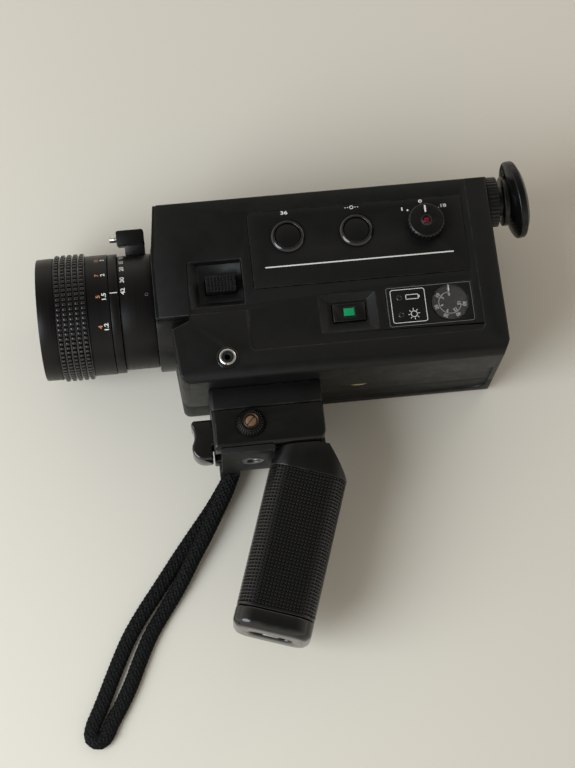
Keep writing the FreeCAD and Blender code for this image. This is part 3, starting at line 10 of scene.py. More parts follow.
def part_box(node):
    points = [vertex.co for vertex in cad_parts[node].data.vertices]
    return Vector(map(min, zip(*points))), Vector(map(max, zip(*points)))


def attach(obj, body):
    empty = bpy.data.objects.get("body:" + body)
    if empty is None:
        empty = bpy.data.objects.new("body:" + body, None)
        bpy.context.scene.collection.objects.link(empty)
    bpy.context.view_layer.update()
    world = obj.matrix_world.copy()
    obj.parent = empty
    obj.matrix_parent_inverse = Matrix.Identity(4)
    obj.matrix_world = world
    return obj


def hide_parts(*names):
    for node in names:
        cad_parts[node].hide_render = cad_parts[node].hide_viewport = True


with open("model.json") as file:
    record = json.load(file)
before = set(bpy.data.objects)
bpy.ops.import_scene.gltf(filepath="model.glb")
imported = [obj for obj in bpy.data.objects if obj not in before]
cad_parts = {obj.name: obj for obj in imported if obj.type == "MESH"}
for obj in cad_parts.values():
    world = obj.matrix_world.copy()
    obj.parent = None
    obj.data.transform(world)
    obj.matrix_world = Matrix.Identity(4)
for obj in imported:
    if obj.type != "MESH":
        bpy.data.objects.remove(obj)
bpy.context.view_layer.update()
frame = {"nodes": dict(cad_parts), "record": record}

bl_info = {
    "name": "Movie Camera",
    "version": (1, 0, 0),
    "blender": (4, 5, 0),
    "location": "3D View > Sidebar > Movie Camera",
    "description": "Finishes, knurls, lettering, glass and strap of a hand-held movie camera",
    "category": "Object",
}

MM = 0.001
PRINT_RISE = 0.03        # height of printed marks above their plate, in millimetres


# Where things are, read from the frame

def middle(node):
    low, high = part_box(node)
    return (low + high) / 2


def top(node):
    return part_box(node)[1].z


LENS_AXIS = middle("lens_barrel")
NEAR_FACE = top("indicator_plate")
PLATE_FACE = top("control_plate")


# Properties

class MovieCameraStage(bpy.types.PropertyGroup):
    floor_colour: FloatVectorProperty(
        name="Floor", description="Colour of the table top", subtype="COLOR",
        default=(0.70, 0.655, 0.575))
    window_power: FloatProperty(
        name="Window", description="Power of the large soft light at the lens side",
        subtype="POWER", default=11.0)
    fill_power: FloatProperty(
        name="Fill", description="Power of the small light at the eyepiece side",
        subtype="POWER", default=0.6)
    ceiling_level: FloatProperty(
        name="Ceiling", description="Light level of the room straight above", default=0.15)
    wall_level: FloatProperty(
        name="Walls", description="Light level of the room at the horizon", default=1.2)


class MovieCameraFinish(bpy.types.PropertyGroup):
    body_colour: FloatVectorProperty(
        name="Casing", description="Black of the moulded casing", subtype="COLOR",
        default=(0.0034, 0.0034, 0.0032))
    panel_colour: FloatVectorProperty(
        name="Plates", description="Black of the sheet metal plates", subtype="COLOR",
        default=(0.0042, 0.0042, 0.0040))
    lens_colour: FloatVectorProperty(
        name="Lens", description="Black of the anodised lens rings", subtype="COLOR",
        default=(0.0034, 0.0029, 0.0027))
    rubber_colour: FloatVectorProperty(
        name="Rubber", description="Black of the rubber parts", subtype="COLOR",
        default=(0.0026, 0.0026, 0.0027))
    ink_colour: FloatVectorProperty(
        name="Ink", description="White of the printed and engraved marks", subtype="COLOR",
        default=(0.74, 0.74, 0.72))


class MovieCameraLens(bpy.types.PropertyGroup):
    bead_rows: IntProperty(
        name="Focus bead rows", description="Rows of beads round the focus ring", default=5)
    bead_columns: IntProperty(
        name="Focus beads round", description="Beads in a row round the focus ring", default=80)


class MovieCameraGrip(bpy.types.PropertyGroup):
    bead_rows: IntProperty(
        name="Grip bead rows", description="Rows of beads down the grip", default=41)
    bead_columns: IntProperty(
        name="Grip beads round", description="Beads in a row round the grip", default=76)


class MovieCameraStrap(bpy.types.PropertyGroup):
    width: FloatProperty(
        name="Strap width", description="Width of the flat braid", subtype="DISTANCE",
        default=7.4 * MM)
    thickness: FloatProperty(
        name="Strap thickness", description="Thickness of the flat braid", subtype="DISTANCE",
        default=3.2 * MM)
    strands: IntProperty(
        name="Strands", description="Strands in the braid, half each way", default=16)
    colour: FloatVectorProperty(
        name="Strap", description="Black of the yarn", subtype="COLOR",
        default=(0.0016, 0.0016, 0.0016))


# Modelling helpers

def clear_selection():
    if bpy.context.object and bpy.context.object.mode != "OBJECT":
        bpy.ops.object.mode_set(mode="OBJECT")
    bpy.ops.object.select_all(action="DESELECT")


def activate(piece):
    clear_selection()
    piece.select_set(True)
    bpy.context.view_layer.objects.active = piece


def named(name):
    piece = bpy.context.object
    piece.name = name
    piece.data.name = name
    return piece


def settle(piece):
    """Puts the piece's place into its mesh, so that its object sits at the origin."""
    activate(piece)
    bpy.ops.object.transform_apply(location=True, rotation=True, scale=True)
    return piece


def edit(piece):
    activate(piece)
    bpy.ops.object.mode_set(mode="EDIT")
    bpy.ops.mesh.select_mode(type="VERT")
    bpy.ops.mesh.select_all(action="SELECT")


def done():
    bpy.ops.object.mode_set(mode="OBJECT")


def pick(piece, kind, test):
    """In edit mode, selects faces whose middle, or edges whose two ends, pass the test."""
    bpy.ops.mesh.select_mode(type=kind)
    bpy.ops.mesh.select_all(action="DESELECT")
    mesh = bmesh.from_edit_mesh(piece.data)
    if kind == "FACE":
        for face in mesh.faces:
            face.select = test(face.calc_center_median())
    else:
        for edge in mesh.edges:
            edge.select = all(test(vert.co) for vert in edge.verts)
    mesh.select_flush_mode()
    bmesh.update_edit_mesh(piece.data)


def modifier(piece, kind, **values):
    """Adds a modifier with the given settings and applies it."""
    activate(piece)
    made = piece.modifiers.new(kind.title(), kind)
    for key, value in values.items():
        setattr(made, key, value)
    bpy.ops.object.modifier_apply(modifier=made.name)


def smooth(piece, degrees=32.0):
    activate(piece)
    bpy.ops.object.shade_smooth_by_angle(angle=math.radians(degrees))


def join(name, pieces):
    activate(pieces[0])
    for piece in pieces[1:]:
        piece.select_set(True)
    bpy.ops.object.join()
    return named(name)


def sheet(name, size, spot, turn=0.0):
    """A flat rectangle about a spot, in millimetres."""
    clear_selection()
    bpy.ops.mesh.primitive_plane_add(size=MM, location=(0, 0, 0))
    piece = named(name)
    piece.scale = (size[0], size[1], 1)
    piece.rotation_euler.z = turn
    piece.location = Vector(spot) * MM
    return settle(piece)


def block(name, size, spot, broken, segments=2, lean=0.0):
    """A small block with broken edges. Its size and edges are in millimetres."""
    clear_selection()
    bpy.ops.mesh.primitive_cube_add(size=MM, location=spot)
    piece = named(name)
    piece.scale = size
    piece.rotation_euler.y = lean
    settle(piece)
    modifier(piece, "BEVEL", width=broken * MM, segments=segments)
    return piece


def turned(name, profile, centre, axis, steps, closed=False):
    """Draws (along, radius) points in millimetres as a chain and spins it about its axis."""
    chain_merge = 0.0005 * MM
    seam_merge = 0.002 * MM
    clear_selection()
    bpy.ops.mesh.primitive_plane_add(size=MM, location=(0, 0, 0))
    piece = named(name)
    edit(piece)
    bpy.ops.mesh.merge(type="CENTER")
    if closed:
        profile = profile + profile[:1]
    places = [(along * MM, radius * MM, 0) if axis == "X" else (radius * MM, 0, along * MM)
              for along, radius in profile]
    bpy.ops.transform.translate(value=places[0])
    for first, second in zip(places, places[1:]):
        step = tuple(end - start for start, end in zip(first, second))
        bpy.ops.mesh.extrude_vertices_move(TRANSFORM_OT_translate={"value": step})
    bpy.ops.mesh.select_all(action="SELECT")
    bpy.ops.mesh.remove_doubles(threshold=chain_merge)
    direction = (1, 0, 0) if axis == "X" else (0, 0, 1)
    bpy.ops.mesh.spin(steps=steps, angle=2 * math.pi, center=(0, 0, 0), axis=direction)
    bpy.ops.mesh.select_all(action="SELECT")
    bpy.ops.mesh.remove_doubles(threshold=seam_merge)
    bpy.ops.mesh.normals_make_consistent(inside=False)
    bpy.ops.transform.translate(value=centre)
    done()
    smooth(piece)
    return piece


def upright(name, profile, spot, steps, base=0.0, closed=False):
    """A piece turned about an upright line through a spot."""
    return turned(name, profile, (spot.x, spot.y, base), "Z", steps, closed)


def face_axis(piece, spot):
    """Turns the faces of an open bore towards its upright axis, if they point away from it."""
    away = sum((face.center.xy - spot.xy).dot(face.normal.xy) * face.area
               for face in piece.data.polygons)
    if away > 0:
        edit(piece)
        bpy.ops.mesh.flip_normals()
        done()
    return piece


def face_underside(piece, spot):
    """Swings a piece turned about the lens direction to face the underside, at a spot."""
    quarter_turn = Matrix.Rotation(math.radians(90), 4, "Z")
    piece.data.transform(Matrix.Translation(spot) @ quarter_turn)
    return piece


def extrude_edges(*steps):
    """Extrudes the selected edges by steps in millimetres, one after the other."""
    for step in steps:
        value = tuple(part * MM for part in step)
        bpy.ops.mesh.extrude_edges_move(TRANSFORM_OT_translate={"value": value})


def wrap(piece, surface):
    """Lays a flat drawing on a curved surface, given as a function of a flat place."""
    mesh = bmesh.new()
    mesh.from_mesh(piece.data)
    for vert in mesh.verts:
        vert.co = surface(vert.co)
    mesh.to_mesh(piece.data)
    mesh.free()
    return piece


def round_lens(radius):
    """A flat x stays along the lens, and y runs round it from the side that faces up."""
    def surface(place):
        turn = place.y / (radius * MM)
        reach = radius * MM + place.z
        return Vector((place.x, LENS_AXIS.y + reach * math.sin(turn),
                       LENS_AXIS.z + reach * math.cos(turn)))
    return surface


def letters(name, words, height, spot, turn=0.0, wide=1.0, bold=0.0):
    """Plain characters of a height in millimetres, flat about a spot, as a mesh."""
    clear_selection()
    bpy.ops.object.text_add(location=(0, 0, 0))
    text = bpy.context.object
    text.data.body = words
    text.data.offset = bold
    text.data.resolution_u = 3
    bpy.ops.object.convert(target="MESH")
    piece = named(name)
    bpy.ops.object.origin_set(type="ORIGIN_GEOMETRY", center="BOUNDS")
    scale = height * MM / piece.dimensions.y
    piece.scale = (scale * wide, scale, 1)
    piece.rotation_euler.z = turn
    piece.location = Vector(spot) * MM
    return settle(piece)


def line_mark(name, start, end, width):
    """A straight printed line with rounded ends between two places in millimetres."""
    past_ends = 0.6
    corner = 0.42
    start = Vector(start)
    end = Vector(end)
    size = ((end - start).length + width * past_ends, width)
    turn = math.atan2(end.y - start.y, end.x - start.x)
    piece = sheet(name, size, (start + end) / 2, turn)
    edit(piece)
    bpy.ops.mesh.bevel(offset=width * corner * MM, segments=3, affect="VERTICES")
    done()
    return piece


def ring_mark(name, spot, radius, width, steps):
    """A printed ring, or a dot where its width is its radius."""
    clear_selection()
    bpy.ops.mesh.primitive_circle_add(vertices=steps, radius=radius * MM, fill_type="NGON",
                                      location=Vector(spot) * MM)
    piece = settle(named(name))
    if width < radius:
        edit(piece)
        bpy.ops.mesh.inset(thickness=width * MM)
        bpy.ops.mesh.delete(type="FACE")
        done()
    return piece


def frame_mark(name, low, high, height, corner, width):
    """A printed outline of a rounded rectangle between two corners."""
    size = (high[0] - low[0], high[1] - low[1])
    piece = sheet(name, size, ((low[0] + high[0]) / 2, (low[1] + high[1]) / 2, height))
    edit(piece)
    bpy.ops.mesh.bevel(offset=corner * MM, segments=5, affect="VERTICES")
    bpy.ops.mesh.select_mode(type="FACE")
    bpy.ops.mesh.select_all(action="SELECT")
    bpy.ops.mesh.inset(thickness=width * MM)
    bpy.ops.mesh.delete(type="FACE")
    done()
    return piece


BEAD_WELD = 0.01 * MM
# Each step of a bead's rounded side: its share of the way in, and its share of the rise
BEAD_STEPS = ((0.14, 0.52), (0.26, 0.32), (0.28, 0.16))


def bead_band(name, along, around, rows, columns, rise, groove, cut, lip=0.0):
    """A flat sheet of rounded beads in rows, to be wrapped. Its ends are turned down.

    The groove is the gap between rows, and the cut is the gap between neighbours in a row.
    The lip is a plain strip, nearly as high as the beads, past the last row.
    """
    end_depth = 1.1
    lip_round = 0.2
    lip_rise = rise * 0.9
    pitch_x = along / rows
    pitch_y = around / columns
    piece = sheet(name, (pitch_x, pitch_y), (pitch_x / 2, pitch_y / 2, 0))
    edit(piece)
    bpy.ops.mesh.inset(thickness=groove / 2 * MM)
    for share, step in BEAD_STEPS:
        inward = (min(pitch_x, pitch_y) - groove) * share * 0.5
        bpy.ops.mesh.inset(thickness=inward * MM, depth=rise * step * MM)
    half_x = pitch_x / 2 * MM
    half_y = pitch_y / 2 * MM
    edge = groove / 2 * MM
    pick(piece, "FACE", lambda place: abs(place.x - half_x) < half_x - edge
         and abs(place.y - half_y) < half_y - edge)
    bpy.ops.transform.resize(value=(1, (pitch_y - cut) / (pitch_y - groove), 1),
                             center_override=(half_x, half_y, 0))
    done()
    for count, direction in ((rows, (1, 0, 0)), (columns, (0, 1, 0))):
        modifier(piece, "ARRAY", count=count, relative_offset_displace=direction,
                 use_merge_vertices=True, merge_threshold=BEAD_WELD)
    for end in (0.0, along):
        edit(piece)
        pick(piece, "EDGE", lambda place: abs(place.x - end * MM) < 2 * BEAD_WELD)
        if end and lip:
            extrude_edges((0, 0, lip_rise), (lip - lip_round, 0, 0), (lip_round, 0, -lip_round),
                          (0, 0, lip_round - lip_rise))
        extrude_edges((0, 0, -end_depth))
        done()
    return piece


def close_band(piece, turn_out=False):
    """Merges the seam of a wrapped band, and can turn its faces outwards."""
    edit(piece)
    bpy.ops.mesh.remove_doubles(threshold=BEAD_WELD)
    if turn_out:
        bpy.ops.mesh.normals_make_consistent(inside=False)
    done()
    smooth(piece, 38.0)
    return piece


# Rounded rear edges: those behind an x, and below a y or above a z, in millimetres
ROUNDED_ENDS = {"left_shell": (124.4, -47.2, 62.9), "right_shell": (124.4, -47.2, 99.0)}
REAR_RADIUS = 1.8


def softened(node, width, segments=2, angle=28.0, merge=0.4, round_to=40.0):
    """A copy of a node with its loose triangles merged and its sharp edges broken.

    Faces on a broken edge get 1 in the attribute "edge", which the finishes read as wear.
    """
    weld = 0.0015 * MM
    piece = bpy.data.objects.new(node + "_skin", frame["nodes"][node].data.copy())
    bpy.context.scene.collection.objects.link(piece)
    piece.data.materials.clear()
    edit(piece)
    bpy.ops.mesh.remove_doubles(threshold=weld)
    bpy.ops.mesh.dissolve_limited(angle_limit=math.radians(merge))
    if node in ROUNDED_ENDS:
        end, low, high = (part * MM for part in ROUNDED_ENDS[node])
        pick(piece, "EDGE", lambda place: place.x > end and (place.y < low or place.z > high))
        bpy.ops.mesh.bevel(offset=REAR_RADIUS * MM, segments=4, affect="EDGES",
                           clamp_overlap=True)
    done()
    piece.data.materials.append(None)      # for the faces
    piece.data.materials.append(None)      # for the broken edges
    modifier(piece, "BEVEL", width=width * MM, segments=segments, limit_method="ANGLE",
             angle_limit=math.radians(angle), use_clamp_overlap=False, material=1,
             miter_outer="MITER_ARC", harden_normals=False)
    edge = piece.data.attributes.new("edge", "FLOAT", "FACE")
    for face in piece.data.polygons:
        edge.data[face.index].value = float(face.material_index == 1)
        face.material_index = 0
    piece.data.materials.pop(index=1)
    smooth(piece, round_to)
    return piece


def body_of(node):
    for body, members in frame["record"]["behaviour"]["bodies"].items():
        if node in members:
            return body
    raise RuntimeError("no body holds " + node)


# Node groups that several finishes share

NODES_IN_ROW = 8
NODE_STEP = (220, 260)


class Nodes:
    """Short words for adding and linking shader nodes in one tree."""

    def __init__(self, tree):
        self.tree = tree
        self.count = 0

    def add(self, kind, **values):
        node = self.tree.nodes.new("ShaderNode" + kind)
        self.count += 1
        row, column = divmod(self.count, NODES_IN_ROW)
        node.location = (column * NODE_STEP[0], -row * NODE_STEP[1])
        for key, value in values.items():
            setattr(node, key, value)
        return node

    def link(self, source, target):
        self.tree.links.new(source, target)

    def feed(self, socket, value):
        if isinstance(value, bpy.types.NodeSocket):
            self.link(value, socket)
        else:
            socket.default_value = value

    def maths(self, operation, first, second, clamp=False):
        node = self.add("Math", operation=operation, use_clamp=clamp)
        self.feed(node.inputs[0], first)
        self.feed(node.inputs[1], second)
        return node.outputs[0]

    def ramp(self, value, low, high, start=0.0, end=1.0):
        node = self.add("MapRange", clamp=True)
        for label, given in (("Value", value), ("From Min", low), ("From Max", high),
                             ("To Min", start), ("To Max", end)):
            self.feed(node.inputs[label], given)
        return node.outputs["Result"]

    def blend(self, share, first, second):
        node = self.add("Mix", data_type="RGBA")
        for label, given in (("Factor", share), ("A", first), ("B", second)):
            self.feed(node.inputs[label], given)
        return node.outputs["Result"]

    def noise(self, place, scale, detail=2.0, roughness=0.5, distortion=0.0):
        node = self.add("TexNoise")
        for label, given in (("Vector", place), ("Scale", scale), ("Detail", detail),
                             ("Roughness", roughness), ("Distortion", distortion)):
            self.feed(node.inputs[label], given)
        return node.outputs["Fac"]

    def scaled(self, place, scale):
        node = self.add("Mapping")
        self.link(place, node.inputs["Vector"])
        node.inputs["Scale"].default_value = scale
        return node.outputs["Vector"]

    def place(self):
        return self.add("TexCoord").outputs["Object"]

    def group(self, name, value=None):
        node = self.add("Group", node_tree=bpy.data.node_groups[name])
        if value is not None:
            node.inputs[0].default_value = value
        return node.outputs


def new_group(name, label, default, results):
    """An empty node group with one number in and some numbers out."""
    group = bpy.data.node_groups.new(name, "ShaderNodeTree")
    number = {"socket_type": "NodeSocketFloat"}
    group.interface.new_socket(label, in_out="INPUT", **number).default_value = default
    for result in results:
        group.interface.new_socket(result, in_out="OUTPUT", **number)
    given = group.nodes.new("NodeGroupInput").outputs[label]
    return Nodes(group), given, group.nodes.new("NodeGroupOutput").inputs


def make_grain_group():
    """Fine moulded grain: a height, a slow cloudiness and a change of gloss."""
    nodes, scale, out = new_group("Moulded Grain", "Scale", 2400.0, ("Height", "Cloud", "Gloss"))
    place = nodes.place()
    fine = nodes.noise(place, scale, 3.0, 0.6)
    cloud_scale = nodes.maths("MULTIPLY", scale, 0.012)
    smear_scale = nodes.maths("MULTIPLY", scale, 0.055)
    cloud = nodes.noise(place, cloud_scale, 3.0, 0.55)
    smear = nodes.noise(place, smear_scale, 4.0, 0.6, distortion=0.6)
    nodes.link(fine, out["Height"])
    nodes.link(nodes.ramp(cloud, 0.3, 0.7), out["Cloud"])
    nodes.link(nodes.ramp(smear, 0.25, 0.75), out["Gloss"])


def make_wear_group():
    """Rubbed edges: the softened edges, broken up by a patchy noise."""
    nodes, amount, out = new_group("Edge Wear", "Amount", 0.5, ("Mask",))
    edge = nodes.add("Attribute", attribute_name="edge").outputs["Fac"]
    patch = nodes.ramp(nodes.noise(nodes.place(), 160.0, 5.0, 0.65), 0.42, 0.66)
    worn = nodes.maths("MULTIPLY", edge, patch)
    nodes.link(nodes.maths("MULTIPLY", worn, amount, True), out["Mask"])


def make_dust_group():
    """Specks of dust, thin over the whole surface."""
    nodes, amount, out = new_group("Dust", "Amount", 0.3, ("Mask",))
    place = nodes.place()
    speck = nodes.add("TexVoronoi", feature="F1")
    nodes.link(place, speck.inputs["Vector"])
    speck.inputs["Scale"].default_value = 420.0
    near = nodes.ramp(speck.outputs["Distance"], 0.05, 0.09, 1.0, 0.0)
    rare = nodes.ramp(nodes.noise(place, 90.0, 2.0), 0.62, 0.70)
    specks = nodes.maths("MULTIPLY", near, rare)
    nodes.link(nodes.maths("MULTIPLY", specks, amount, True), out["Mask"])


def make_turning_group():
    """Fine rings left by turning about the lens direction."""
    nodes, pitch, out = new_group("Turning Marks", "Pitch", 5200.0, ("Height", "Gloss"))
    along = nodes.add("SeparateXYZ")
    nodes.link(nodes.place(), along.inputs[0])
    line = nodes.add("CombineXYZ")
    nodes.link(along.outputs["X"], line.inputs["X"])
    fine = nodes.noise(line.outputs[0], pitch, 2.0, 0.7)
    wide_pitch = nodes.maths("MULTIPLY", pitch, 0.14)
    wide = nodes.noise(line.outputs[0], wide_pitch, 2.0, 0.6)
    nodes.link(fine, out["Height"])
    nodes.link(nodes.ramp(wide, 0.3, 0.7), out["Gloss"])


# Finishes

MATERIALS = {}
DUST_COLOUR = (0.30, 0.29, 0.27, 1.0)


def new_material(name):
    material = bpy.data.materials.new(name)
    material.use_nodes = True
    material.node_tree.nodes.clear()
    nodes = Nodes(material.node_tree)
    shader = nodes.add("BsdfPrincipled")
    out = nodes.add("OutputMaterial")
    nodes.link(shader.outputs[0], out.inputs["Surface"])
    MATERIALS[name] = material
    return nodes, shader.inputs


def tint(colour, factor):
    return tuple(min(1.0, part * factor) for part in colour) + (1.0,)


def bump(nodes, shader, height, distance):
    """Relief from a height, with a distance in millimetres."""
    node = nodes.add("Bump")
    node.inputs["Distance"].default_value = distance * MM
    node.inputs["Strength"].default_value = 1.0
    nodes.feed(node.inputs["Height"], height)
    nodes.link(node.outputs["Normal"], shader["Normal"])


def aged(nodes, shader, cloud, colour, spread, bare, wear, dust):
    """A cloudy base colour with rubbed edges and dust, and the masks of those two.

    The spread is the factors of the darkest and palest tone, and bare that of a rubbed edge.
    """
    worn = nodes.group("Edge Wear", wear)["Mask"]
    dusty = nodes.group("Dust", dust)["Mask"]
    base = nodes.blend(cloud, tint(colour, spread[0]), tint(colour, spread[1]))
    base = nodes.blend(worn, base, tint(colour, bare))
    nodes.link(nodes.blend(dusty, base, DUST_COLOUR), shader["Base Color"])
    return worn, dusty


def plastic(name, colour, rough, grain=2400.0, depth=0.012, wear=0.5, dust=0.04, specular=0.26):
    """Moulded or painted black with grain, cloudy gloss, rubbed edges and a little dust."""
    nodes, shader = new_material(name)
    marks = nodes.group("Moulded Grain", grain)
    worn, dusty = aged(nodes, shader, marks["Cloud"], colour, (0.86, 1.16), 9.0, wear, dust)
    polish = nodes.maths("MULTIPLY", worn, 0.12)
    dulling = nodes.maths("MULTIPLY", dusty, 0.3)
    roughness = nodes.ramp(marks["Gloss"], 0.0, 1.0, *rough)
    roughness = nodes.maths("SUBTRACT", roughness, polish)
    nodes.link(nodes.maths("ADD", roughness, dulling, True), shader["Roughness"])
    shader["Specular IOR Level"].default_value = specular
    bump(nodes, shader, marks["Height"], depth)


def turned_black(name, colour):
    """Black anodised metal with turning rings."""
    nodes, shader = new_material(name)
    rings = nodes.group("Turning Marks")
    aged(nodes, shader, rings["Gloss"], colour, (0.8, 1.25), 16.0, 0.5, 0.08)
    nodes.link(nodes.ramp(rings["Gloss"], 0.0, 1.0, 0.30, 0.42), shader["Roughness"])
    shader["Specular IOR Level"].default_value = 0.2
    bump(nodes, shader, rings["Height"], 0.004)


def metal(name, colour, rough=(0.22, 0.38)):
    """Bare metal with brushed lines and slightly uneven tone."""
    brushed = (40.0, 900.0, 900.0)
    nodes, shader = new_material(name)
    line = nodes.noise(nodes.scaled(nodes.place(), brushed), 3.0, 3.0, 0.6)
    cloud = nodes.noise(nodes.place(), 300.0, 3.0)
    base = nodes.blend(nodes.ramp(cloud, 0.3, 0.7), tint(colour, 0.78), tint(colour, 1.08))
    nodes.link(base, shader["Base Color"])
    nodes.link(nodes.ramp(line, 0.3, 0.7, *rough), shader["Roughness"])
    shader["Metallic"].default_value = 1.0
    bump(nodes, shader, line, 0.002)


def glass(name, colour, rough, ior, clear=1.0):
    """Clear or dark coated glass with faint smears."""
    nodes, shader = new_material(name)
    smear = nodes.noise(nodes.place(), 120.0, 4.0, 0.6)
    nodes.link(nodes.ramp(smear, 0.5, 0.8, rough, rough + 0.01), shader["Roughness"])
    base = nodes.blend(nodes.ramp(smear, 0.4, 0.7), tint(colour, 1.0), tint(colour, 0.94))
    nodes.link(base, shader["Base Color"])
    shader["Transmission Weight"].default_value = clear
    shader["IOR"].default_value = ior


def ink(name, colour):
    """Printed paint: nearly even, with a slightly broken cover."""
    nodes, shader = new_material(name)
    patch = nodes.ramp(nodes.noise(nodes.place(), 2600.0, 3.0, 0.6), 0.25, 0.6)
    nodes.link(nodes.blend(patch, tint(colour, 0.72), tint(colour, 1.0)), shader["Base Color"])
    nodes.link(nodes.ramp(patch, 0.0, 1.0, 0.6, 0.45), shader["Roughness"])


def speckled_card():
    """Dark grey card of the film counter, full of fine pale specks."""
    nodes, shader = new_material("dial_card")
    place = nodes.place()
    speck = nodes.ramp(nodes.noise(place, 5200.0, 2.0, 0.7), 0.50, 0.62)
    cloud = nodes.ramp(nodes.noise(place, 700.0, 3.0), 0.3, 0.7)
    base = nodes.blend(cloud, (0.028, 0.028, 0.027, 1.0), (0.042, 0.042, 0.040, 1.0))
    base = nodes.blend(speck, base, (0.17, 0.17, 0.165, 1.0))
    nodes.link(base, shader["Base Color"])
    nodes.link(nodes.ramp(speck, 0.0, 1.0, 0.8, 0.55), shader["Roughness"])
    bump(nodes, shader, speck, 0.01)


def braided_yarn():
    """Braided yarn: fibres run along each strand's own map."""
    nodes, shader = new_material("strap")
    colour = tuple(bpy.context.scene.movie_camera_strap.colour)
    fibres = (1.0, 22.0, 1.0)
    along = nodes.add("UVMap", uv_map="strand").outputs["UV"]
    fibre = nodes.noise(nodes.scaled(along, fibres), 2.0, 3.0, 0.6, distortion=0.4)
    base = nodes.blend(nodes.ramp(fibre, 0.3, 0.7), tint(colour, 0.5), tint(colour, 2.2))
    nodes.link(base, shader["Base Color"])
    nodes.link(nodes.ramp(fibre, 0.3, 0.7, 0.75, 0.5), shader["Roughness"])
    shader["Specular IOR Level"].default_value = 0.16
    bump(nodes, shader, fibre, 0.08)


def make_finishes():
    look = bpy.context.scene.movie_camera_finish
    body = tuple(look.body_colour)
    rubber = tuple(look.rubber_colour)
    # Colour, roughness from and to, grain's scale and depth in millimetres, wear, dust, specular
    plastic("casing", body, (0.40, 0.54))
    plastic("casing_smooth", body, (0.24, 0.34), 3000.0, 0.006, 0.6, specular=0.32)
    plastic("panel", tuple(look.panel_colour), (0.36, 0.46), 3600.0, 0.006, 0.9)
    plastic("gloss_black", body, (0.07, 0.13), 1500.0, 0.001, 0.4, specular=0.6)
    plastic("cap_gloss", body, (0.14, 0.22), 1500.0, 0.001, 0.5, specular=0.5)
    plastic("inner_black", (0.006, 0.006, 0.006), (0.6, 0.75), 2200.0, 0.01, 0.2)
    plastic("eye_rubber", rubber, (0.22, 0.34), 1800.0, 0.004, 0.2, 0.5)
    plastic("grip_rubber", rubber, (0.18, 0.27), 2600.0, 0.004, 0.2, 0.02, 0.6)
    plastic("lens_rubber", rubber, (0.15, 0.24), 2600.0, 0.004, 0.2, 0.02, 0.75)
    plastic("base_grain", tuple(part * 2.6 for part in body), (0.5, 0.62), 900.0, 0.08, 0.6)
    plastic("rocker_black", (0.005, 0.005, 0.0055), (0.26, 0.4), 2600.0, 0.006, 0.5, 0.4)
    plastic("green_window", (0.006, 0.26, 0.10), (0.15, 0.25), 900.0, 0.002, 0.0, 0.2)
    plastic("red_lamp", (0.16, 0.004, 0.018), (0.08, 0.14), 900.0, 0.001, 0.0, 0.2)
    plastic("nylon", (0.52, 0.50, 0.44), (0.35, 0.5), 2400.0, 0.006, 0.0, 0.0)
    plastic("board", (0.012, 0.070, 0.028), (0.25, 0.4), 2400.0, 0.004, 0.0, 0.0)
    turned_black("lens_black", tuple(look.lens_colour))
    # Colour, and roughness from and to
    metal("silver", (0.70, 0.69, 0.66))
    metal("steel", (0.52, 0.52, 0.53), (0.28, 0.42))
    metal("dark_steel", (0.20, 0.20, 0.205), (0.30, 0.45))
    metal("brass", (0.70, 0.42, 0.20), (0.30, 0.42))
    metal("copper", (0.46, 0.29, 0.19), (0.34, 0.48))
    metal("bronze", (0.060, 0.042, 0.028), (0.32, 0.5))
    # Colour, roughness, index of refraction and clearness
    glass("optics", (0.030, 0.040, 0.046), 0.02, 1.62, 0.3)
    glass("clear", (0.96, 0.96, 0.96), 0.01, 1.49)
    ink("white_ink", tuple(look.ink_colour))
    ink("orange_ink", (0.52, 0.20, 0.085))
    ink("grey_ink", (0.22, 0.22, 0.215))
    ink("gold_foil", (0.46, 0.38, 0.16))
    speckled_card()
    braided_yarn()


def finished(piece, finish, node, replaces=False):
    """Finishes a piece that moves with a node, and may show in the node's place."""
    piece.data.materials.clear()
    piece.data.materials.append(MATERIALS[finish])
    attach(piece, body_of(node))
    if replaces:
        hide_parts(node)


# Stage

IMAGE_HEIGHT_PX = 768.0
FOCAL_PX = 1700.0
SENSOR_MM = 36.0
CAMERA_TURN = Vector((-0.294, 0.044, 0.101))     # from the room to the camera, axis times angle
CAMERA_PLACE = Vector((-27.63, -279.20, 816.33)) * MM
LIGHT_AIM = Vector((0.0, -0.03, 0.03))
ROOM_COLOUR = (1.0, 0.955, 0.87, 1.0)
ROOM_UP = (0.12, 0.0, 1.0)                       # tipped, so that the lens side is the brighter


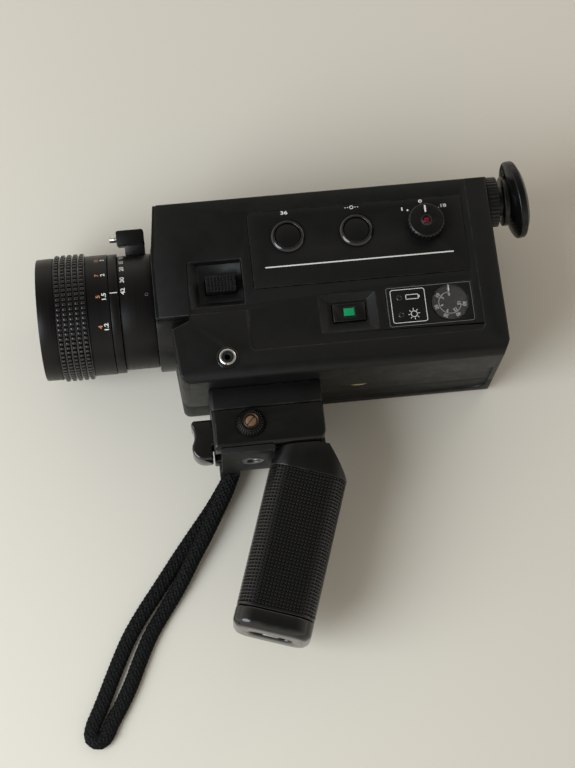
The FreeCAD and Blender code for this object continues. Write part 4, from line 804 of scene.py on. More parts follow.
class MOVIECAMERA_OT_stage(bpy.types.Operator):
    """Table top, camera at the photograph's angle, and the soft lights"""
    bl_idname = "movie_camera.stage"
    bl_label = "Stage"

    def execute(self, context):
        stage = context.scene.movie_camera_stage
        self.table(tuple(stage.floor_colour))
        self.light("window", (-0.76, -0.40, 0.64), 0.8, stage.window_power, (0.84, 0.93, 1.0))
        self.light("fill", (0.75, 0.62, 0.40), 0.3, stage.fill_power, (1.0, 0.95, 0.88))
        self.room(context, stage)
        self.camera(context)
        return {"FINISHED"}

    def table(self, colour):
        clear_selection()
        bpy.ops.mesh.primitive_plane_add(size=6.0, location=(0, 0, 0))
        floor = named("table_top")
        nodes, shader = new_material("table_top")
        cloud = nodes.ramp(nodes.noise(nodes.place(), 3.0, 2.0), 0.3, 0.7)
        base = nodes.blend(cloud, tint(colour, 0.985), tint(colour, 1.015))
        nodes.link(base, shader["Base Color"])
        shader["Roughness"].default_value = 0.75
        shader["Specular IOR Level"].default_value = 0.2
        floor.data.materials.append(MATERIALS["table_top"])

    def light(self, name, place, size, power, colour):
        bpy.ops.object.light_add(type="AREA", location=place)
        light = bpy.context.object
        light.name = name
        light.data.shape = "DISK"
        light.data.size = size
        light.data.energy = power
        light.data.color = colour
        aim = LIGHT_AIM - Vector(place)
        light.rotation_euler = aim.to_track_quat("-Z", "Y").to_euler()

    def room(self, context, stage):
        """Light from all round, brighter from the walls than from the ceiling."""
        world = bpy.data.worlds.new("room")
        context.scene.world = world
        world.use_nodes = True
        nodes = Nodes(world.node_tree)
        background = world.node_tree.nodes["Background"]
        background.inputs["Color"].default_value = ROOM_COLOUR
        height = nodes.add("VectorMath", operation="DOT_PRODUCT")
        nodes.link(nodes.add("TexCoord").outputs["Generated"], height.inputs[0])
        height.inputs[1].default_value = ROOM_UP
        level = nodes.ramp(height.outputs["Value"], 0.0, 1.0, stage.wall_level,
                           stage.ceiling_level)
        nodes.link(level, background.inputs["Strength"])

    def camera(self, context):
        bpy.ops.object.camera_add(location=CAMERA_PLACE)
        camera = context.object
        camera.name = "photo_camera"
        turn = Matrix.Rotation(CAMERA_TURN.length, 3, CAMERA_TURN.normalized())
        camera.rotation_euler = turn.transposed().to_euler()
        camera.data.sensor_width = SENSOR_MM
        camera.data.lens = FOCAL_PX / IMAGE_HEIGHT_PX * SENSOR_MM
        camera.data.clip_start = 0.01
        context.scene.camera = camera
        context.scene.view_settings.view_transform = "Standard"


# Strap

STRAP_ROUTE = [
    (-11.4, -80.2, 3.4), (-14.6, -84.9, 2.8), (-21.5, -94.7, 2.1), (-30.9, -106.2, 2.1),
    (-40.8, -118.5, 2.1), (-49.7, -130.2, 2.1), (-58.8, -141.6, 2.1), (-66.7, -152.9, 2.1),
    (-72.6, -164.1, 2.1), (-78.0, -175.3, 2.1), (-83.3, -186.3, 2.1), (-87.6, -194.0, 2.1),
    (-88.4, -199.6, 2.1), (-83.9, -201.4, 2.1), (-80.3, -197.6, 2.1), (-78.2, -192.8, 2.1),
    (-73.2, -185.6, 2.1), (-67.4, -175.3, 2.1), (-62.3, -164.0, 2.1), (-56.4, -152.6, 2.1),
    (-48.2, -141.4, 2.1), (-40.2, -130.6, 3.2), (-33.6, -119.6, 4.8), (-25.8, -108.0, 6.0),
    (-19.2, -96.7, 7.1), (-13.3, -87.2, 8.6), (-10.4, -80.2, 9.4),
]
LINE_STEPS = 24                        # points of the line from one route point to the next
POINT_GAP = 0.6 * MM
LAY = 2.3                              # length of one twist, in strap widths
YARN_CORNERS = 6
YARN_HALF = (0.80 * MM, 0.42 * MM)     # half width and half thickness of a strand
INSET = (0.55 * MM, 0.62 * MM)         # from the strap's sides and faces in to a strand's line
WEAVE_LIFT = 0.32 * MM
MAP_STEP = 1 / 3.0


def smooth_line(name, points, resolution):
    """The points of a smooth curve through which a cord runs, from a NURBS spline on the route."""
    data = bpy.data.curves.new(name, "CURVE")
    data.dimensions = "3D"
    spline = data.splines.new("NURBS")
    spline.points.add(len(points) - 1)
    for point, (x, y, z) in zip(spline.points, points):
        point.co = (x * MM, y * MM, z * MM, 1.0)
    spline.order_u = 3
    spline.use_endpoint_u = True
    spline.resolution_u = resolution
    holder = bpy.data.objects.new(name, data)
    bpy.context.scene.collection.objects.link(holder)
    mesh = bpy.data.meshes.new_from_object(holder)
    line = [vertex.co.copy() for vertex in mesh.vertices]
    bpy.data.objects.remove(holder)
    return line


class MOVIECAMERA_OT_strap(bpy.types.Operator):
    """Flat braided wrist strap along its route"""
    bl_idname = "movie_camera.strap"
    bl_label = "Wrist strap"

    def execute(self, context):
        strap = context.scene.movie_camera_strap
        line = smooth_line("strap_line", STRAP_ROUTE, LINE_STEPS)
        piece = braid("wrist_strap_braid", line, strap)
        finished(piece, "strap", "wrist_strap", True)
        tuple(line[0])
        [tuple(point) for point in line]
        return {"FINISHED"}


def spaced(line, step):
    """Evenly spaced points along a line of points, with the direction at each."""
    lengths = [0.0]
    for first, second in zip(line, line[1:]):
        lengths.append(lengths[-1] + (second - first).length)
    count = int(lengths[-1] / step)
    found = []
    place = 0
    for number in range(count + 1):
        wanted = lengths[-1] * number / count
        while place < len(line) - 2 and lengths[place + 1] < wanted:
            place += 1
        share = (wanted - lengths[place]) / max(lengths[place + 1] - lengths[place], 1e-9)
        ahead = (line[place + 1] - line[place]).normalized()
        found.append((line[place].lerp(line[place + 1], share), ahead))
    return found, lengths[-1]


def strand(points, length, strap, way, number):
    """The corners of one strand's cross-sections, which twist round the strap's line."""
    half = strap.strands // 2
    pitch = strap.width * LAY
    wide = strap.width / 2 - INSET[0]
    thick = strap.thickness / 2 - INSET[1]
    verts = []
    for place, (centre, along) in enumerate(points):
        twist = 2 * math.pi * length * place / (len(points) - 1) / pitch
        turn = way * twist + 2 * math.pi * number / half
        across = along.cross(Vector((0, 0, 1))).normalized()
        up = across.cross(along)
        lift = WEAVE_LIFT * way * math.cos(half * twist + math.pi * number)
        outward = across * math.cos(turn) + up * math.sin(turn)
        spot = centre + across * (wide * math.cos(turn)) + up * (thick * math.sin(turn))
        spot = spot + outward * lift
        round_strap = across * (-math.sin(turn) * wide) + up * (math.cos(turn) * thick)
        ahead = (along * pitch + round_strap * (2 * math.pi * way)).normalized()
        side = ahead.cross(outward).normalized()
        face_up = side.cross(ahead).normalized()
        for corner in range(YARN_CORNERS):
            angle = 2 * math.pi * corner / YARN_CORNERS
            verts.append(spot + side * (YARN_HALF[0] * math.cos(angle))
                         + face_up * (YARN_HALF[1] * math.sin(angle)))
    return verts


def braid(name, line, strap):
    """Strands that run round the cord both ways and pass over and under each other."""
    points, length = spaced(line, POINT_GAP)
    corners = YARN_CORNERS
    verts, faces, maps = [], [], []
    for way in (1, -1):
        for number in range(strap.strands // 2):
            start = len(verts)
            verts += strand(points, length, strap, way, number)
            for place in range(len(points) - 1):
                for corner in range(corners):
                    first = start + place * corners + corner
                    second = start + place * corners + (corner + 1) % corners
                    faces.append((first, second, second + corners, first + corners))
                    run, low, high = place * MAP_STEP, corner / corners, (corner + 1) / corners
                    maps.append(((run, low), (run, high), (run + MAP_STEP, high),
                                 (run + MAP_STEP, low)))
            last = len(verts) - corners
            faces.append(tuple(start + corner for corner in reversed(range(corners))))
            faces.append(tuple(last + corner for corner in range(corners)))
            maps += [((0.0, 0.0),) * corners] * 2
    mesh = bpy.data.meshes.new(name)
    mesh.from_pydata([tuple(vert) for vert in verts], [], faces)
    layer = mesh.uv_layers.new(name="strand")
    for face, pairs in zip(mesh.polygons, maps):
        for loop, pair in zip(face.loop_indices, pairs):
            layer.data[loop].uv = pair
    piece = bpy.data.objects.new(name, mesh)
    bpy.context.scene.collection.objects.link(piece)
    edit(piece)
    bpy.ops.mesh.normals_make_consistent(inside=False)
    done()
    smooth(piece, 60.0)
    return piece


# Finishes on the frame's own nodes

# Width of the broken edge of each node that is shown with one, in millimetres
SOFTENED = {
    "left_shell": 0.35, "right_shell": 0.45, "front_plate": 0.3, "handle_upper": 0.8,
    "handle_lower": 0.6, "base_plate": 0.25, "base_cap": 0.9, "grip_core": 0.4, "zoom_lever": 0.2,
    "control_plate": 0.12, "indicator_plate": 0.12, "index_ring": 0.2, "zoom_ring": 0.25,
    "battery_check_button": 0.3, "cap_key": 0.2, "door_latch": 0.2, "button_bezels": 0.25,
    "slow_motion_button": 0.3, "backlight_button": 0.3, "macro_pin": 0.25,
    "trigger_lock_screw": 0.1, "run_dial": 0.12, "zoom_rocker": 0.12, "dioptre_ring": 0.12,
    "tripod_bush": 0.2,
}
NODES_OF_FINISH = {
    "casing": "left_shell right_shell film_door handle_upper",
    "casing_smooth": "front_plate handle_lower grip_core slow_motion_button backlight_button "
                     "run_dial battery_check_button door_latch zoom_lever dioptre_ring "
                     "trigger_lock_dial",
    "gloss_black": "trigger button_bezels grip_hinge_pin",
    "base_grain": "base_plate",
    "cap_gloss": "base_cap",
    "rocker_black": "zoom_rocker",
    "panel": "control_plate indicator_plate",
    "lens_black": "lens_barrel zoom_ring index_ring focus_ring zoom_group",
    "inner_black": "iris film_chamber shutter finder_tube",
    "optics": "front_element rear_element finder_prism eyepiece_lens",
    "clear": "counter_window door_window",
    "silver": "macro_pin remote_jack",
    "steel": "film_gate film_claw drive_motor motor_rotor drive_plate door_hinge_pin cap_key "
             "rocker_pin",
    "dark_steel": "tripod_bush",
    "brass": "battery_contacts",
    "copper": "trigger_lock_screw",
    "nylon": "idler_gear take_up_spindle",
    "board": "circuit_board",
    "dial_card": "counter_disc",
    "red_lamp": "run_lamp",
    "green_window": "battery_check_window",
    "eye_rubber": "eyecup",
    "grip_rubber": "grip_sleeve",
    "strap": "wrist_strap",
}
NODE_FINISH = {node: finish for finish, nodes in NODES_OF_FINISH.items()
               for node in nodes.split()}


class MOVIECAMERA_OT_finish_nodes(bpy.types.Operator):
    """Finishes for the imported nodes, with the sharp edges of the visible ones broken"""
    bl_idname = "movie_camera.finish_nodes"
    bl_label = "Casing and works"

    def execute(self, context):
        for node, part in frame["nodes"].items():
            part.data.materials.clear()
            part.data.materials.append(MATERIALS[NODE_FINISH[node]])
        for node, width in SOFTENED.items():
            self.show(softened(node, width), node)
        self.show(softened("trigger", 1.1, 4, 50.0, 6.0), "trigger")
        self.show(softened("eyecup", 0.5, 3, 40.0, 0.4, 60.0), "eyecup")
        return {"FINISHED"}

    def show(self, piece, node):
        finished(piece, NODE_FINISH[node], node, True)


# Focus ring

SCALE_RADIUS = 29.2
SCALE_LENGTH = 10.8
BEADS_LENGTH = 14.8
BEAD_SEAT = 29.55
CELL_DEPTH = 8.0
CONE_START = 4.9
CONE_RADII = (27.0, 22.4)
CONE_STEPS = 6


class MOVIECAMERA_OT_focus_ring(bpy.types.Operator):
    """Focus ring with its rows of rubber beads, front rim, filter thread and stepped cone"""
    bl_idname = "movie_camera.focus_ring"
    bl_label = "Focus ring"

    def execute(self, context):
        low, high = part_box("focus_ring")
        front = low.x / MM
        rear = high.x / MM
        scale_front = rear - SCALE_LENGTH
        rim_rear = scale_front - BEADS_LENGTH
        seat = BEAD_SEAT - 0.05
        profile = [
            (rear, 25.4), (rear, 29.0), (rear - 0.2, SCALE_RADIUS),
            (scale_front + 0.55, SCALE_RADIUS), (scale_front + 0.35, 28.9),
            (scale_front + 0.15, 28.9), (scale_front, SCALE_RADIUS), (scale_front, seat),
            (rim_rear, seat), (rim_rear, 29.05), (rim_rear - 0.5, 29.05), (rim_rear - 0.62, 29.5),
            (rim_rear - 0.9, 29.62), (front + 0.5, 29.5), (front + 0.12, 29.35), (front, 29.0),
            (front, 28.0), (front + 0.35, 27.75),
        ]
        profile += self.thread(front) + self.cone(front)
        ring = turned("focus_ring_metal", profile, (0, LENS_AXIS.y, LENS_AXIS.z), "X", 160,
                      True)
        finished(ring, "lens_black", "focus_ring", True)
        self.beads(context.scene.movie_camera_lens, rim_rear)
        return {"FINISHED"}

    def thread(self, front):
        """Filter thread inside the rim, with a pitch of 0.7 mm"""
        profile = []
        place = front + 0.5
        while place < front + 4.2:
            profile += [(place, 27.35), (place + 0.35, 27.75)]
            place += 0.7
        return profile + [(front + 4.5, 27.3)]

    def cone(self, front):
        """Stepped cone behind the thread, and the bore that holds the front lens"""
        start = front + CONE_START
        cell = front + CELL_DEPTH
        wide, narrow = CONE_RADII
        profile = [(start, wide)]
        for step in range(1, CONE_STEPS + 1):
            share = step / CONE_STEPS
            along = start + (cell - 0.3 - start) * share
            radius = wide + (narrow - wide) * share
            profile += [(along, radius + 0.25), (along, radius)]
        return profile + [(cell + 0.1, 22.6), (cell + 3.0, 22.6), (cell + 3.0, 25.4)]

    def beads(self, lens, start):
        band = bead_band("focus_ring_beads", BEADS_LENGTH, 2 * math.pi * BEAD_SEAT,
                         lens.bead_rows, lens.bead_columns, rise=1.12, groove=0.62, cut=0.22)
        band.location.x = start * MM
        wrap(settle(band), round_lens(BEAD_SEAT))
        finished(close_band(band), "lens_rubber", "focus_ring", True)


# Lens scales. Each number has its angle round the lens, in degrees from the index.

ZOOM_RADIUS = 27.8
INDEX_RADIUS = 29.0
ZOOM_NUMBERS = (("42", 2.4), ("30", 15.2), ("20", 29.8), ("15", 41.5), ("10", 53.5), ("7", 62.5))
METRE_NUMBERS = (("1.2", -30.4), ("1.5", -2.0), ("2", 20.9), ("3", 44.0), ("5", 65.0),
                 ("10", 82.0))
FOOT_NUMBERS = ("4", "5", "7", "10", "15", "30")
INFINITY_ANGLE = 97.0
ZOOM_ROW, METRE_ROW, FOOT_ROW = -54.4, -63.4, -66.2


def lens_number(words, height, row, degrees, radius):
    """A number that reads along the lens, flat until it is wrapped."""
    spot = (row, math.radians(degrees) * radius, 0.05)
    return letters("lens_number", words, height, spot, math.pi / 2, 1.15, 0.03)


class MOVIECAMERA_OT_lens_scales(bpy.types.Operator):
    """Distance and focal length numbers and the index line"""
    bl_idname = "movie_camera.lens_scales"
    bl_label = "Lens scales"

    def execute(self, context):
        zoom = [lens_number(words, 2.15, ZOOM_ROW, degrees, ZOOM_RADIUS)
                for words, degrees in ZOOM_NUMBERS]
        scale = wrap(join("zoom_scale", zoom), round_lens(ZOOM_RADIUS))
        finished(scale, "white_ink", "zoom_ring")
        metres = [lens_number(words, 2.1, METRE_ROW, degrees, SCALE_RADIUS)
                  for words, degrees in METRE_NUMBERS]
        feet = [lens_number(words, 2.0, FOOT_ROW, degrees, SCALE_RADIUS)
                for words, (metre, degrees) in zip(FOOT_NUMBERS, METRE_NUMBERS)]
        around = math.radians(INFINITY_ANGLE) * SCALE_RADIUS
        for name, finish, numbers, row in (("focus_scale_white", "white_ink", metres, METRE_ROW),
                                           ("focus_scale_orange", "orange_ink", feet, FOOT_ROW)):
            numbers.append(letters("infinity", "8", 1.9, (row, around, 0.05), wide=0.8))
            scale = wrap(join(name, numbers), round_lens(SCALE_RADIUS))
            finished(scale, finish, "focus_ring")
        index = line_mark("index_line", (-60.5, 0.4, 0.04), (-57.1, 0.4, 0.04), 0.42)
        finished(wrap(index, round_lens(INDEX_RADIUS)), "white_ink", "index_ring")
        return {"FINISHED"}


class MOVIECAMERA_OT_lens_details(bpy.types.Operator):
    """Set screws of the zoom ring and the collar of the lock pin"""
    bl_idname = "movie_camera.lens_details"
    bl_label = "Lens details"

    def execute(self, context):
        self.screws()
        self.pin()
        return {"FINISHED"}

    def screws(self):
        along = -43.3 * MM
        profile = [(-0.6, 0.0), (-0.6, 0.42), (0.03, 0.62), (0.03, 0.72), (-0.05, 0.8),
                   (-0.4, 0.85)]
        screws = []
        for degrees in (-2.7, 117.3, 237.3):
            screw = turned("zoom_ring_screw", profile, (along, 0, 0), "Z", 20)
            wrap(screw, round_lens(ZOOM_RADIUS))
            turn = Matrix.Rotation(math.radians(-degrees), 4, "X")
            screw.data.transform(Matrix.Translation(LENS_AXIS) @ turn
                                 @ Matrix.Translation(-LENS_AXIS))
            screws.append(screw)
        finished(join("zoom_ring_screws", screws), "steel", "zoom_ring")

    def pin(self):
        spot = middle("macro_pin")
        profile = [(-59.5, 0.0), (-59.5, 1.2), (-59.2, 1.5), (-58.6, 1.62), (-58.4, 1.5),
                   (-58.2, 1.62), (-56.2, 1.62), (-55.98, 2.1), (-55.7, 2.3), (-55.7, 0.0)]
        collar = turned("pin_collar", profile, (0, spot.y, spot.z), "X", 40)
        finished(collar, "silver", "macro_pin", True)


# Controls. Profiles are (height, radius) points above a base, in millimetres.

LAMP_DOME = [(0.0, 2.0), (1.5, 2.0), (1.85, 1.85), (2.25, 1.4), (2.5, 0.8), (2.6, 0.0)]
LAMP_RIM = [(-0.3, 2.02), (0.22, 2.08), (0.34, 2.3), (0.28, 2.65), (-0.02, 2.9)]
POINTER_ENDS = (24.3, 27.4)
JACK_HEIGHT = 1.8
JACK_NUT = [(-0.2, 1.45), (1.0, 1.45), (1.5, 1.75), (1.5, 2.3), (1.2, 2.45), (1.2, 2.75),
            (1.75, 2.9), (1.8, 3.5), (1.6, 3.85), (0.3, 4.0), (-0.1, 4.0)]
JACK_SOCKET = [(1.25, 2.72), (1.62, 2.6), (1.62, 1.9), (1.3, 1.46), (-6.0, 1.42)]
JACK_WASHER = [(-0.05, 4.05), (0.42, 4.1), (0.5, 4.35), (0.5, 4.9), (0.36, 5.15), (-0.05, 5.25)]


class MOVIECAMERA_OT_controls(bpy.types.Operator):
    """Dial pointer and lamp, window of the battery check, jack and its washer"""
    bl_idname = "movie_camera.controls"
    bl_label = "Controls"

    def execute(self, context):
        self.dial()
        self.check_window()
        self.jack()
        return {"FINISHED"}

    def dial(self):
        centre = middle("run_lamp")
        lamp = upright("run_lamp_dome", LAMP_DOME, centre, 40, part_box("run_lamp")[0].z)
        finished(lamp, "red_lamp", "run_lamp", True)
        face = top("run_dial")
        rim = upright("dial_lamp_rim", LAMP_RIM, centre, 48, face)
        finished(rim, "gloss_black", "run_dial")
        x = centre.x / MM - 0.1
        start, end = ((x, y, face / MM + PRINT_RISE) for y in POINTER_ENDS)
        pointer = line_mark("dial_pointer", start, end, 0.85)
        finished(pointer, "white_ink", "run_dial")

    def check_window(self):
        low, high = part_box("battery_check_window")
        centre = (low + high) / 2
        depth = (high.z - low.z) / MM
        lens = block("check_window_lens", (5.0, 3.8, depth + 0.35), centre, 0.22, 3)
        smooth(lens)
        finished(lens, "green_window", "battery_check_window", True)
        strips = []
        for side in (-1, 1):
            spot = (centre.x, centre.y + side * 2.22 * MM, centre.z)
            strips.append(block("check_window_strip", (4.98, 0.54, depth), spot, 0.1))
        strips = join("check_window_strips", strips)
        finished(strips, "gloss_black", "battery_check_window", True)

    def jack(self):
        spot = middle("remote_jack")
        base = top("remote_jack") - JACK_HEIGHT * MM
        nut = upright("jack_nut", JACK_NUT, spot, 64, base)
        edit(nut)
        pick(nut, "FACE", lambda place: self.in_notch(place, spot, base))
        bpy.ops.mesh.extrude_region_move(TRANSFORM_OT_translate={"value": (0, 0, -0.5 * MM)})
        done()
        finished(nut, "silver", "remote_jack", True)
        socket = face_axis(upright("jack_socket", JACK_SOCKET, spot, 48, base), spot)
        finished(socket, "inner_black", "remote_jack", True)
        washer = upright("jack_washer", JACK_WASHER, spot, 64, base)
        finished(washer, "gloss_black", "remote_jack", True)

    def in_notch(self, place, spot, base):
        """Whether a place is in the notch for the spanner, on the nut's raised rim"""
        notch = math.radians(-100)
        half_notch = 0.12
        turn = math.atan2(place.y - spot.y, place.x - spot.x)
        outside = (place.xy - spot.xy).length > 2.8 * MM
        return outside and place.z > base + 1.4 * MM and abs(turn - notch) < half_notch


# Printed marks of the two plates

class MOVIECAMERA_OT_plate_marks(bpy.types.Operator):
    """Stripe, numbers and symbols printed on the control and indicator plates"""
    bl_idname = "movie_camera.plate_marks"
    bl_label = "Plate marks"

    def execute(self, context):
        self.control()
        self.indicator()
        return {"FINISHED"}

    def control(self):
        height = PLATE_FACE / MM + PRINT_RISE
        stripe = line_mark("plate_stripe", (13.9, 5.2, height), (103.8, 5.2, height), 0.62)
        finished(stripe, "white_ink", "control_plate")
        x, y = 57.9, 32.1
        marks = [
            letters("speed_label", "36", 1.8, (25.4, 32.3, height), wide=1.5, bold=0.03),
            ring_mark("light_symbol", (x, y, height), 0.95, 0.34, 28),
            letters("dial_one", "1", 1.75, (82.0, 28.9, height), wide=1.5, bold=0.04),
            ring_mark("dial_dot", (84.6, 28.1, height), 0.5, 0.5, 20),
            letters("dial_off", "0", 1.75, (91.2, 32.2, height), wide=1.6, bold=0.04),
            ring_mark("dial_dot", (99.7, 28.2, height), 0.22, 0.22, 16),
            letters("dial_eighteen", "18", 1.75, (102.1, 29.0, height), wide=1.5, bold=0.04),
        ]
        for reach in (-3.0, -1.75, 1.75, 3.0):
            start, end = (x + reach - 0.25, y, height), (x + reach + 0.25, y, height)
            marks.append(line_mark("light_ray", start, end, 0.34))
        finished(join("plate_labels", marks), "white_ink", "control_plate")

    def indicator(self):
        height = NEAR_FACE / MM + PRINT_RISE
        marks = [frame_mark("cell_frame", (70.9, -28.4), (87.4, -11.7), height, 1.2, 0.28)]
        x, y = 81.3, -15.7
        marks.append(frame_mark("cell_symbol", (x - 3.2, y - 1.25), (x + 3.0, y + 1.25), height,
                                0.5, 0.32))
        marks.append(line_mark("cell_tip", (x + 3.3, y - 0.5, height),
                               (x + 3.3, y + 0.5, height), 0.36))
        x, y = 81.2, -24.3
        marks.append(ring_mark("light_symbol", (x, y, height), 1.6, 0.3, 32))
        for ray in range(8):
            turn = math.radians(45 * ray + 5)
            ends = [(x + math.cos(turn) * reach, y + math.sin(turn) * reach, height)
                    for reach in (1.95, 2.75)]
            marks.append(line_mark("light_ray", *ends, 0.3))
        finished(join("indicator_symbols", marks), "white_ink", "indicator_plate")
        border = frame_mark("indicator_border", (69.1, -30.0), (109.5, -10.6), height, 1.0, 0.16)
        finished(border, "grey_ink", "indicator_plate")
        profile = [(0.0, 1.3), (0.1, 1.15), (0.02, 1.0), (0.12, 0.6), (0.16, 0.0)]
        lamps = [upright("indicator_lamp", profile, Vector((75.1, y)) * MM, 32, NEAR_FACE)
                 for y in (-15.8, -24.3)]
        finished(join("indicator_lamps", lamps), "gloss_black", "indicator_plate")


# Film counter. Each ring of numbers: its numbers, their height and the ring's radius.

COUNTER_RINGS = (
    (("0", "10", "20", "30", "40", "50"), 1.9, 6.85),
    (("0", "3", "6", "9", "12", "15"), 1.7, 4.2),
)
COUNTER_STEP = 52


class MOVIECAMERA_OT_counter(bpy.types.Operator):
    """Film counter: speckled disc, two rings of numbers, arc and pointer under its window"""
    bl_idname = "movie_camera.counter"
    bl_label = "Film counter"

    def execute(self, context):
        centre = middle("counter_disc")
        x, y = centre.x / MM, centre.y / MM
        height = top("counter_disc") / MM + PRINT_RISE
        marks = []
        for numbers, size, radius in COUNTER_RINGS:
            for place, words in enumerate(numbers):
                turn = math.radians(90 + place * COUNTER_STEP)
                spot = (x + radius * math.cos(turn), y + radius * math.sin(turn), height)
                marks.append(letters("counter_number", words, size, spot, turn - math.pi / 2,
                                     0.95, 0.05))
        marks.append(self.arc(centre, (x, y, height)))
        finished(join("counter_numbers", marks), "white_ink", "counter_disc")
        window = top("counter_window") / MM + 0.02
        pointer = line_mark("counter_pointer", (x, y + 5.6, window), (x, y + 8.6, window), 0.4)
        finished(pointer, "white_ink", "counter_window")
        return {"FINISHED"}

    def arc(self, centre, spot):
        """A ring between the numbers, without the quarter from -8 to 84 degrees"""
        arc = ring_mark("counter_arc", spot, 5.5, 0.32, 72)
        edit(arc)
        pick(arc, "FACE", lambda place: (math.degrees(
            math.atan2(place.y - centre.y, place.x - centre.x)) + 8) % 360 < 92)
        bpy.ops.mesh.delete(type="FACE")
        done()
        return arc


# Handle

LOCK_RIBS = 30


class MOVIECAMERA_OT_handle(bpy.types.Operator):
    """Ribbed dial of the trigger lock with its ring, and the tripod thread"""
    bl_idname = "movie_camera.handle"
    bl_label = "Handle"

    def execute(self, context):
        self.lock_dial()
        self.tripod_thread()
        return {"FINISHED"}

    def lock_dial(self):
        low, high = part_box("trigger_lock_dial")
        centre = (low + high) / 2
        rise = (high.z - low.z) / MM
        profile = [(0.0, 2.7), (0.0, 6.5), (0.3, 6.6), (1.0, 6.5), (rise - 0.5, 5.0),
                   (rise - 0.2, 4.9), (rise, 4.7), (rise, 4.4), (rise - 0.4, 4.1),
                   (rise - 0.4, 2.7)]
        pieces = [upright("lock_dial_knob", profile, centre, 72, low.z, True)]
        lean = math.atan2(rise - 1.4, 1.6)
        for number in range(LOCK_RIBS):
            rib = block("lock_dial_rib", (2.9, 0.62, 0.9), (5.85 * MM, 0, centre.z + 0.1 * MM),
                        0.16, lean=lean)
            rib.location = (centre.x, centre.y, 0)
            rib.rotation_euler.z = 2 * math.pi / LOCK_RIBS * number
            pieces.append(settle(rib))
        dial = join("lock_dial", pieces)
        smooth(dial)
        finished(dial, "casing_smooth", "trigger_lock_dial", True)
        profile = [(-0.45, 4.05), (-0.1, 3.95), (-0.05, 3.6), (-0.25, 3.3), (-0.1, 3.05),
                   (-0.15, 2.85), (-0.6, 2.65)]
        ring = upright("lock_dial_ring", profile, centre, 64, high.z)
        finished(ring, "bronze", "trigger_lock_dial")

    def tripod_thread(self):
        """Tripod thread with a coarse pitch of 1.2 mm"""
        low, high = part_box("tripod_bush")
        profile = [(0.0, 5.4), (-0.12, 5.2), (-0.12, 3.6), (0.2, 3.25)]
        depth = 0.4
        while depth < 8.0:
            profile += [(depth, 2.85), (depth + 0.6, 3.2)]
            depth += 1.2
        thread = turned("tripod_thread", profile, (0, 0, 0), "X", 56)
        spot = Vector(((low.x + high.x) / 2, low.y, (low.z + high.z) / 2))
        finished(face_underside(thread, spot), "dark_steel", "tripod_bush")


# Grip. The sleeve runs down the leaning grip from its pivot, in millimetres.

GRIP_LEAN = math.radians(-19.1)
GRIP_PIVOT = Vector((29.3, -71.9)) * MM
GRIP_FRONT, GRIP_REAR = -16.7, 20.2
GRIP_WIDTH = 34.6
GRIP_CORNER = 9.5
SLEEVE_START = 20.0
SLEEVE_LENGTH = 66.2
SLEEVE_RISE = 0.8


def round_grip(depth):
    """A flat x runs down the grip, and y round its section, at a depth inside its outside.

    Gives that surface as a function, and the length of the way round.
    """
    half_deep = (GRIP_REAR - GRIP_FRONT) / 2 - depth
    half_wide = GRIP_WIDTH / 2 - depth
    corner = GRIP_CORNER - depth
    straight_deep = 2 * (half_deep - corner)
    straight_wide = 2 * (half_wide - corner)
    bend = math.pi / 2 * corner
    whole = 2 * (straight_deep + straight_wide) + 4 * bend

    def outward(heading):
        return Vector((-math.sin(heading), math.cos(heading)))

    def section(around):
        around = around % whole
        spot = Vector((-half_deep + corner, half_wide))
        heading = 0.0
        for length, plain in ((straight_deep, True), (bend, False), (straight_wide, True),
                              (bend, False)) * 2:
            run = min(around, length)
            if plain:
                spot = spot + Vector((math.cos(heading), math.sin(heading))) * run
            else:
                hub = spot - outward(heading) * corner
                heading -= run / corner
                spot = hub + outward(heading) * corner
            around -= run
            if around <= 1e-9:
                break
        return spot, outward(heading)

    def surface(place):
        spot, out = section(place.y / MM)
        spot = spot + out * (place.z / MM)
        across = (GRIP_FRONT + GRIP_REAR) / 2 + spot.x
        down = place.x / MM
        x = across * math.cos(GRIP_LEAN) + down * math.sin(GRIP_LEAN)
        y = across * math.sin(GRIP_LEAN) - down * math.cos(GRIP_LEAN)
        return Vector((GRIP_PIVOT.x + x * MM, GRIP_PIVOT.y + y * MM, LENS_AXIS.z + spot.y * MM))

    return surface, whole


class MOVIECAMERA_OT_grip(bpy.types.Operator):
    """Rubber sleeve of the grip, covered in small square beads"""
    bl_idname = "movie_camera.grip"
    bl_label = "Grip sleeve"

    def execute(self, context):
        grip = context.scene.movie_camera_grip
        surface, around = round_grip(SLEEVE_RISE)
        sleeve = bead_band("grip_sleeve_beads", SLEEVE_LENGTH, around, grip.bead_rows,
                           grip.bead_columns, SLEEVE_RISE, groove=0.56, cut=0.12, lip=1.2)
        sleeve.location.x = SLEEVE_START * MM
        wrap(settle(sleeve), surface)
        finished(close_band(sleeve, turn_out=True), "grip_rubber", "grip_sleeve", True)
        return {"FINISHED"}


# Underside

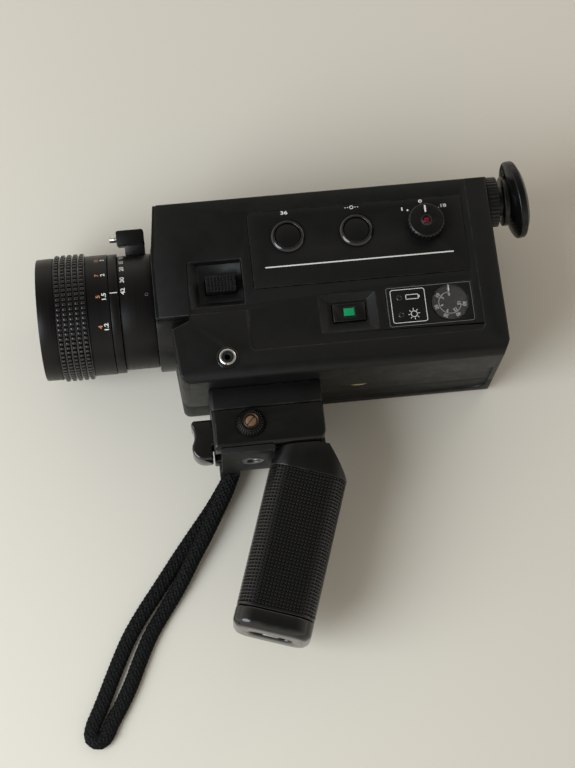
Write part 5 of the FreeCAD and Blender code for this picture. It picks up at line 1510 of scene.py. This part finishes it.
class MOVIECAMERA_OT_underside(bpy.types.Operator):
    """Bare round sticker, and a painted highlight on the casing's underside: a thin bright steel
    strip
    """
    bl_idname = "movie_camera.underside"
    bl_label = "Underside"

    def execute(self, context):
        profile = [(0.0, 5.0), (-0.06, 4.95), (-0.06, 4.5), (-0.08, 4.4), (-0.07, 0.0)]
        sticker = turned("inspection_sticker", profile, (0, 0, 0), "X", 48)
        face_underside(sticker, Vector((54.5, -46.5, 33.0)) * MM)
        finished(sticker, "gold_foil", "left_shell")
        # Painted highlight: a thin bright steel strip stands in for light caught by an edge of the
        # underside
        line = block("painted_highlight_strip", (10.0, 0.35, 0.6), Vector((77.0, -46.65, 32.6)) * MM, 0.12)
        finished(line, "steel", "left_shell")
        return {"FINISHED"}


class MOVIECAMERA_PT_panel(bpy.types.Panel):
    """Lists the camera's groups of pieces and their settings"""
    bl_idname = "MOVIECAMERA_PT_panel"
    bl_label = "Movie Camera"
    bl_space_type = "VIEW_3D"
    bl_region_type = "UI"
    bl_category = "Movie Camera"

    def draw(self, context):
        for group in GROUPS:
            for key in group.__annotations__:
                self.layout.prop(getattr(context.scene, GROUPS[group]), key)
        for operator in OPERATORS:
            self.layout.operator(operator.bl_idname)


GROUPS = {
    MovieCameraStage: "movie_camera_stage",
    MovieCameraFinish: "movie_camera_finish",
    MovieCameraLens: "movie_camera_lens",
    MovieCameraGrip: "movie_camera_grip",
    MovieCameraStrap: "movie_camera_strap",
}
OPERATORS = [
    MOVIECAMERA_OT_stage, MOVIECAMERA_OT_strap, MOVIECAMERA_OT_finish_nodes,
    MOVIECAMERA_OT_focus_ring, MOVIECAMERA_OT_lens_scales, MOVIECAMERA_OT_lens_details,
    MOVIECAMERA_OT_controls, MOVIECAMERA_OT_plate_marks, MOVIECAMERA_OT_counter,
    MOVIECAMERA_OT_handle, MOVIECAMERA_OT_grip, MOVIECAMERA_OT_underside,
]


def register():
    for group, name in GROUPS.items():
        bpy.utils.register_class(group)
        setattr(bpy.types.Scene, name, PointerProperty(type=group))
    for operator in OPERATORS:
        bpy.utils.register_class(operator)
    bpy.utils.register_class(MOVIECAMERA_PT_panel)


def unregister():
    bpy.utils.unregister_class(MOVIECAMERA_PT_panel)
    for operator in reversed(OPERATORS):
        bpy.utils.unregister_class(operator)
    for group, name in GROUPS.items():
        delattr(bpy.types.Scene, name)
        bpy.utils.unregister_class(group)


def main():
    register()
    make_grain_group()
    make_wear_group()
    make_dust_group()
    make_turning_group()
    make_finishes()
    for operator in OPERATORS:
        getattr(bpy.ops.movie_camera, operator.bl_idname.split(".")[1])()


if __name__ == "__main__":
    main()
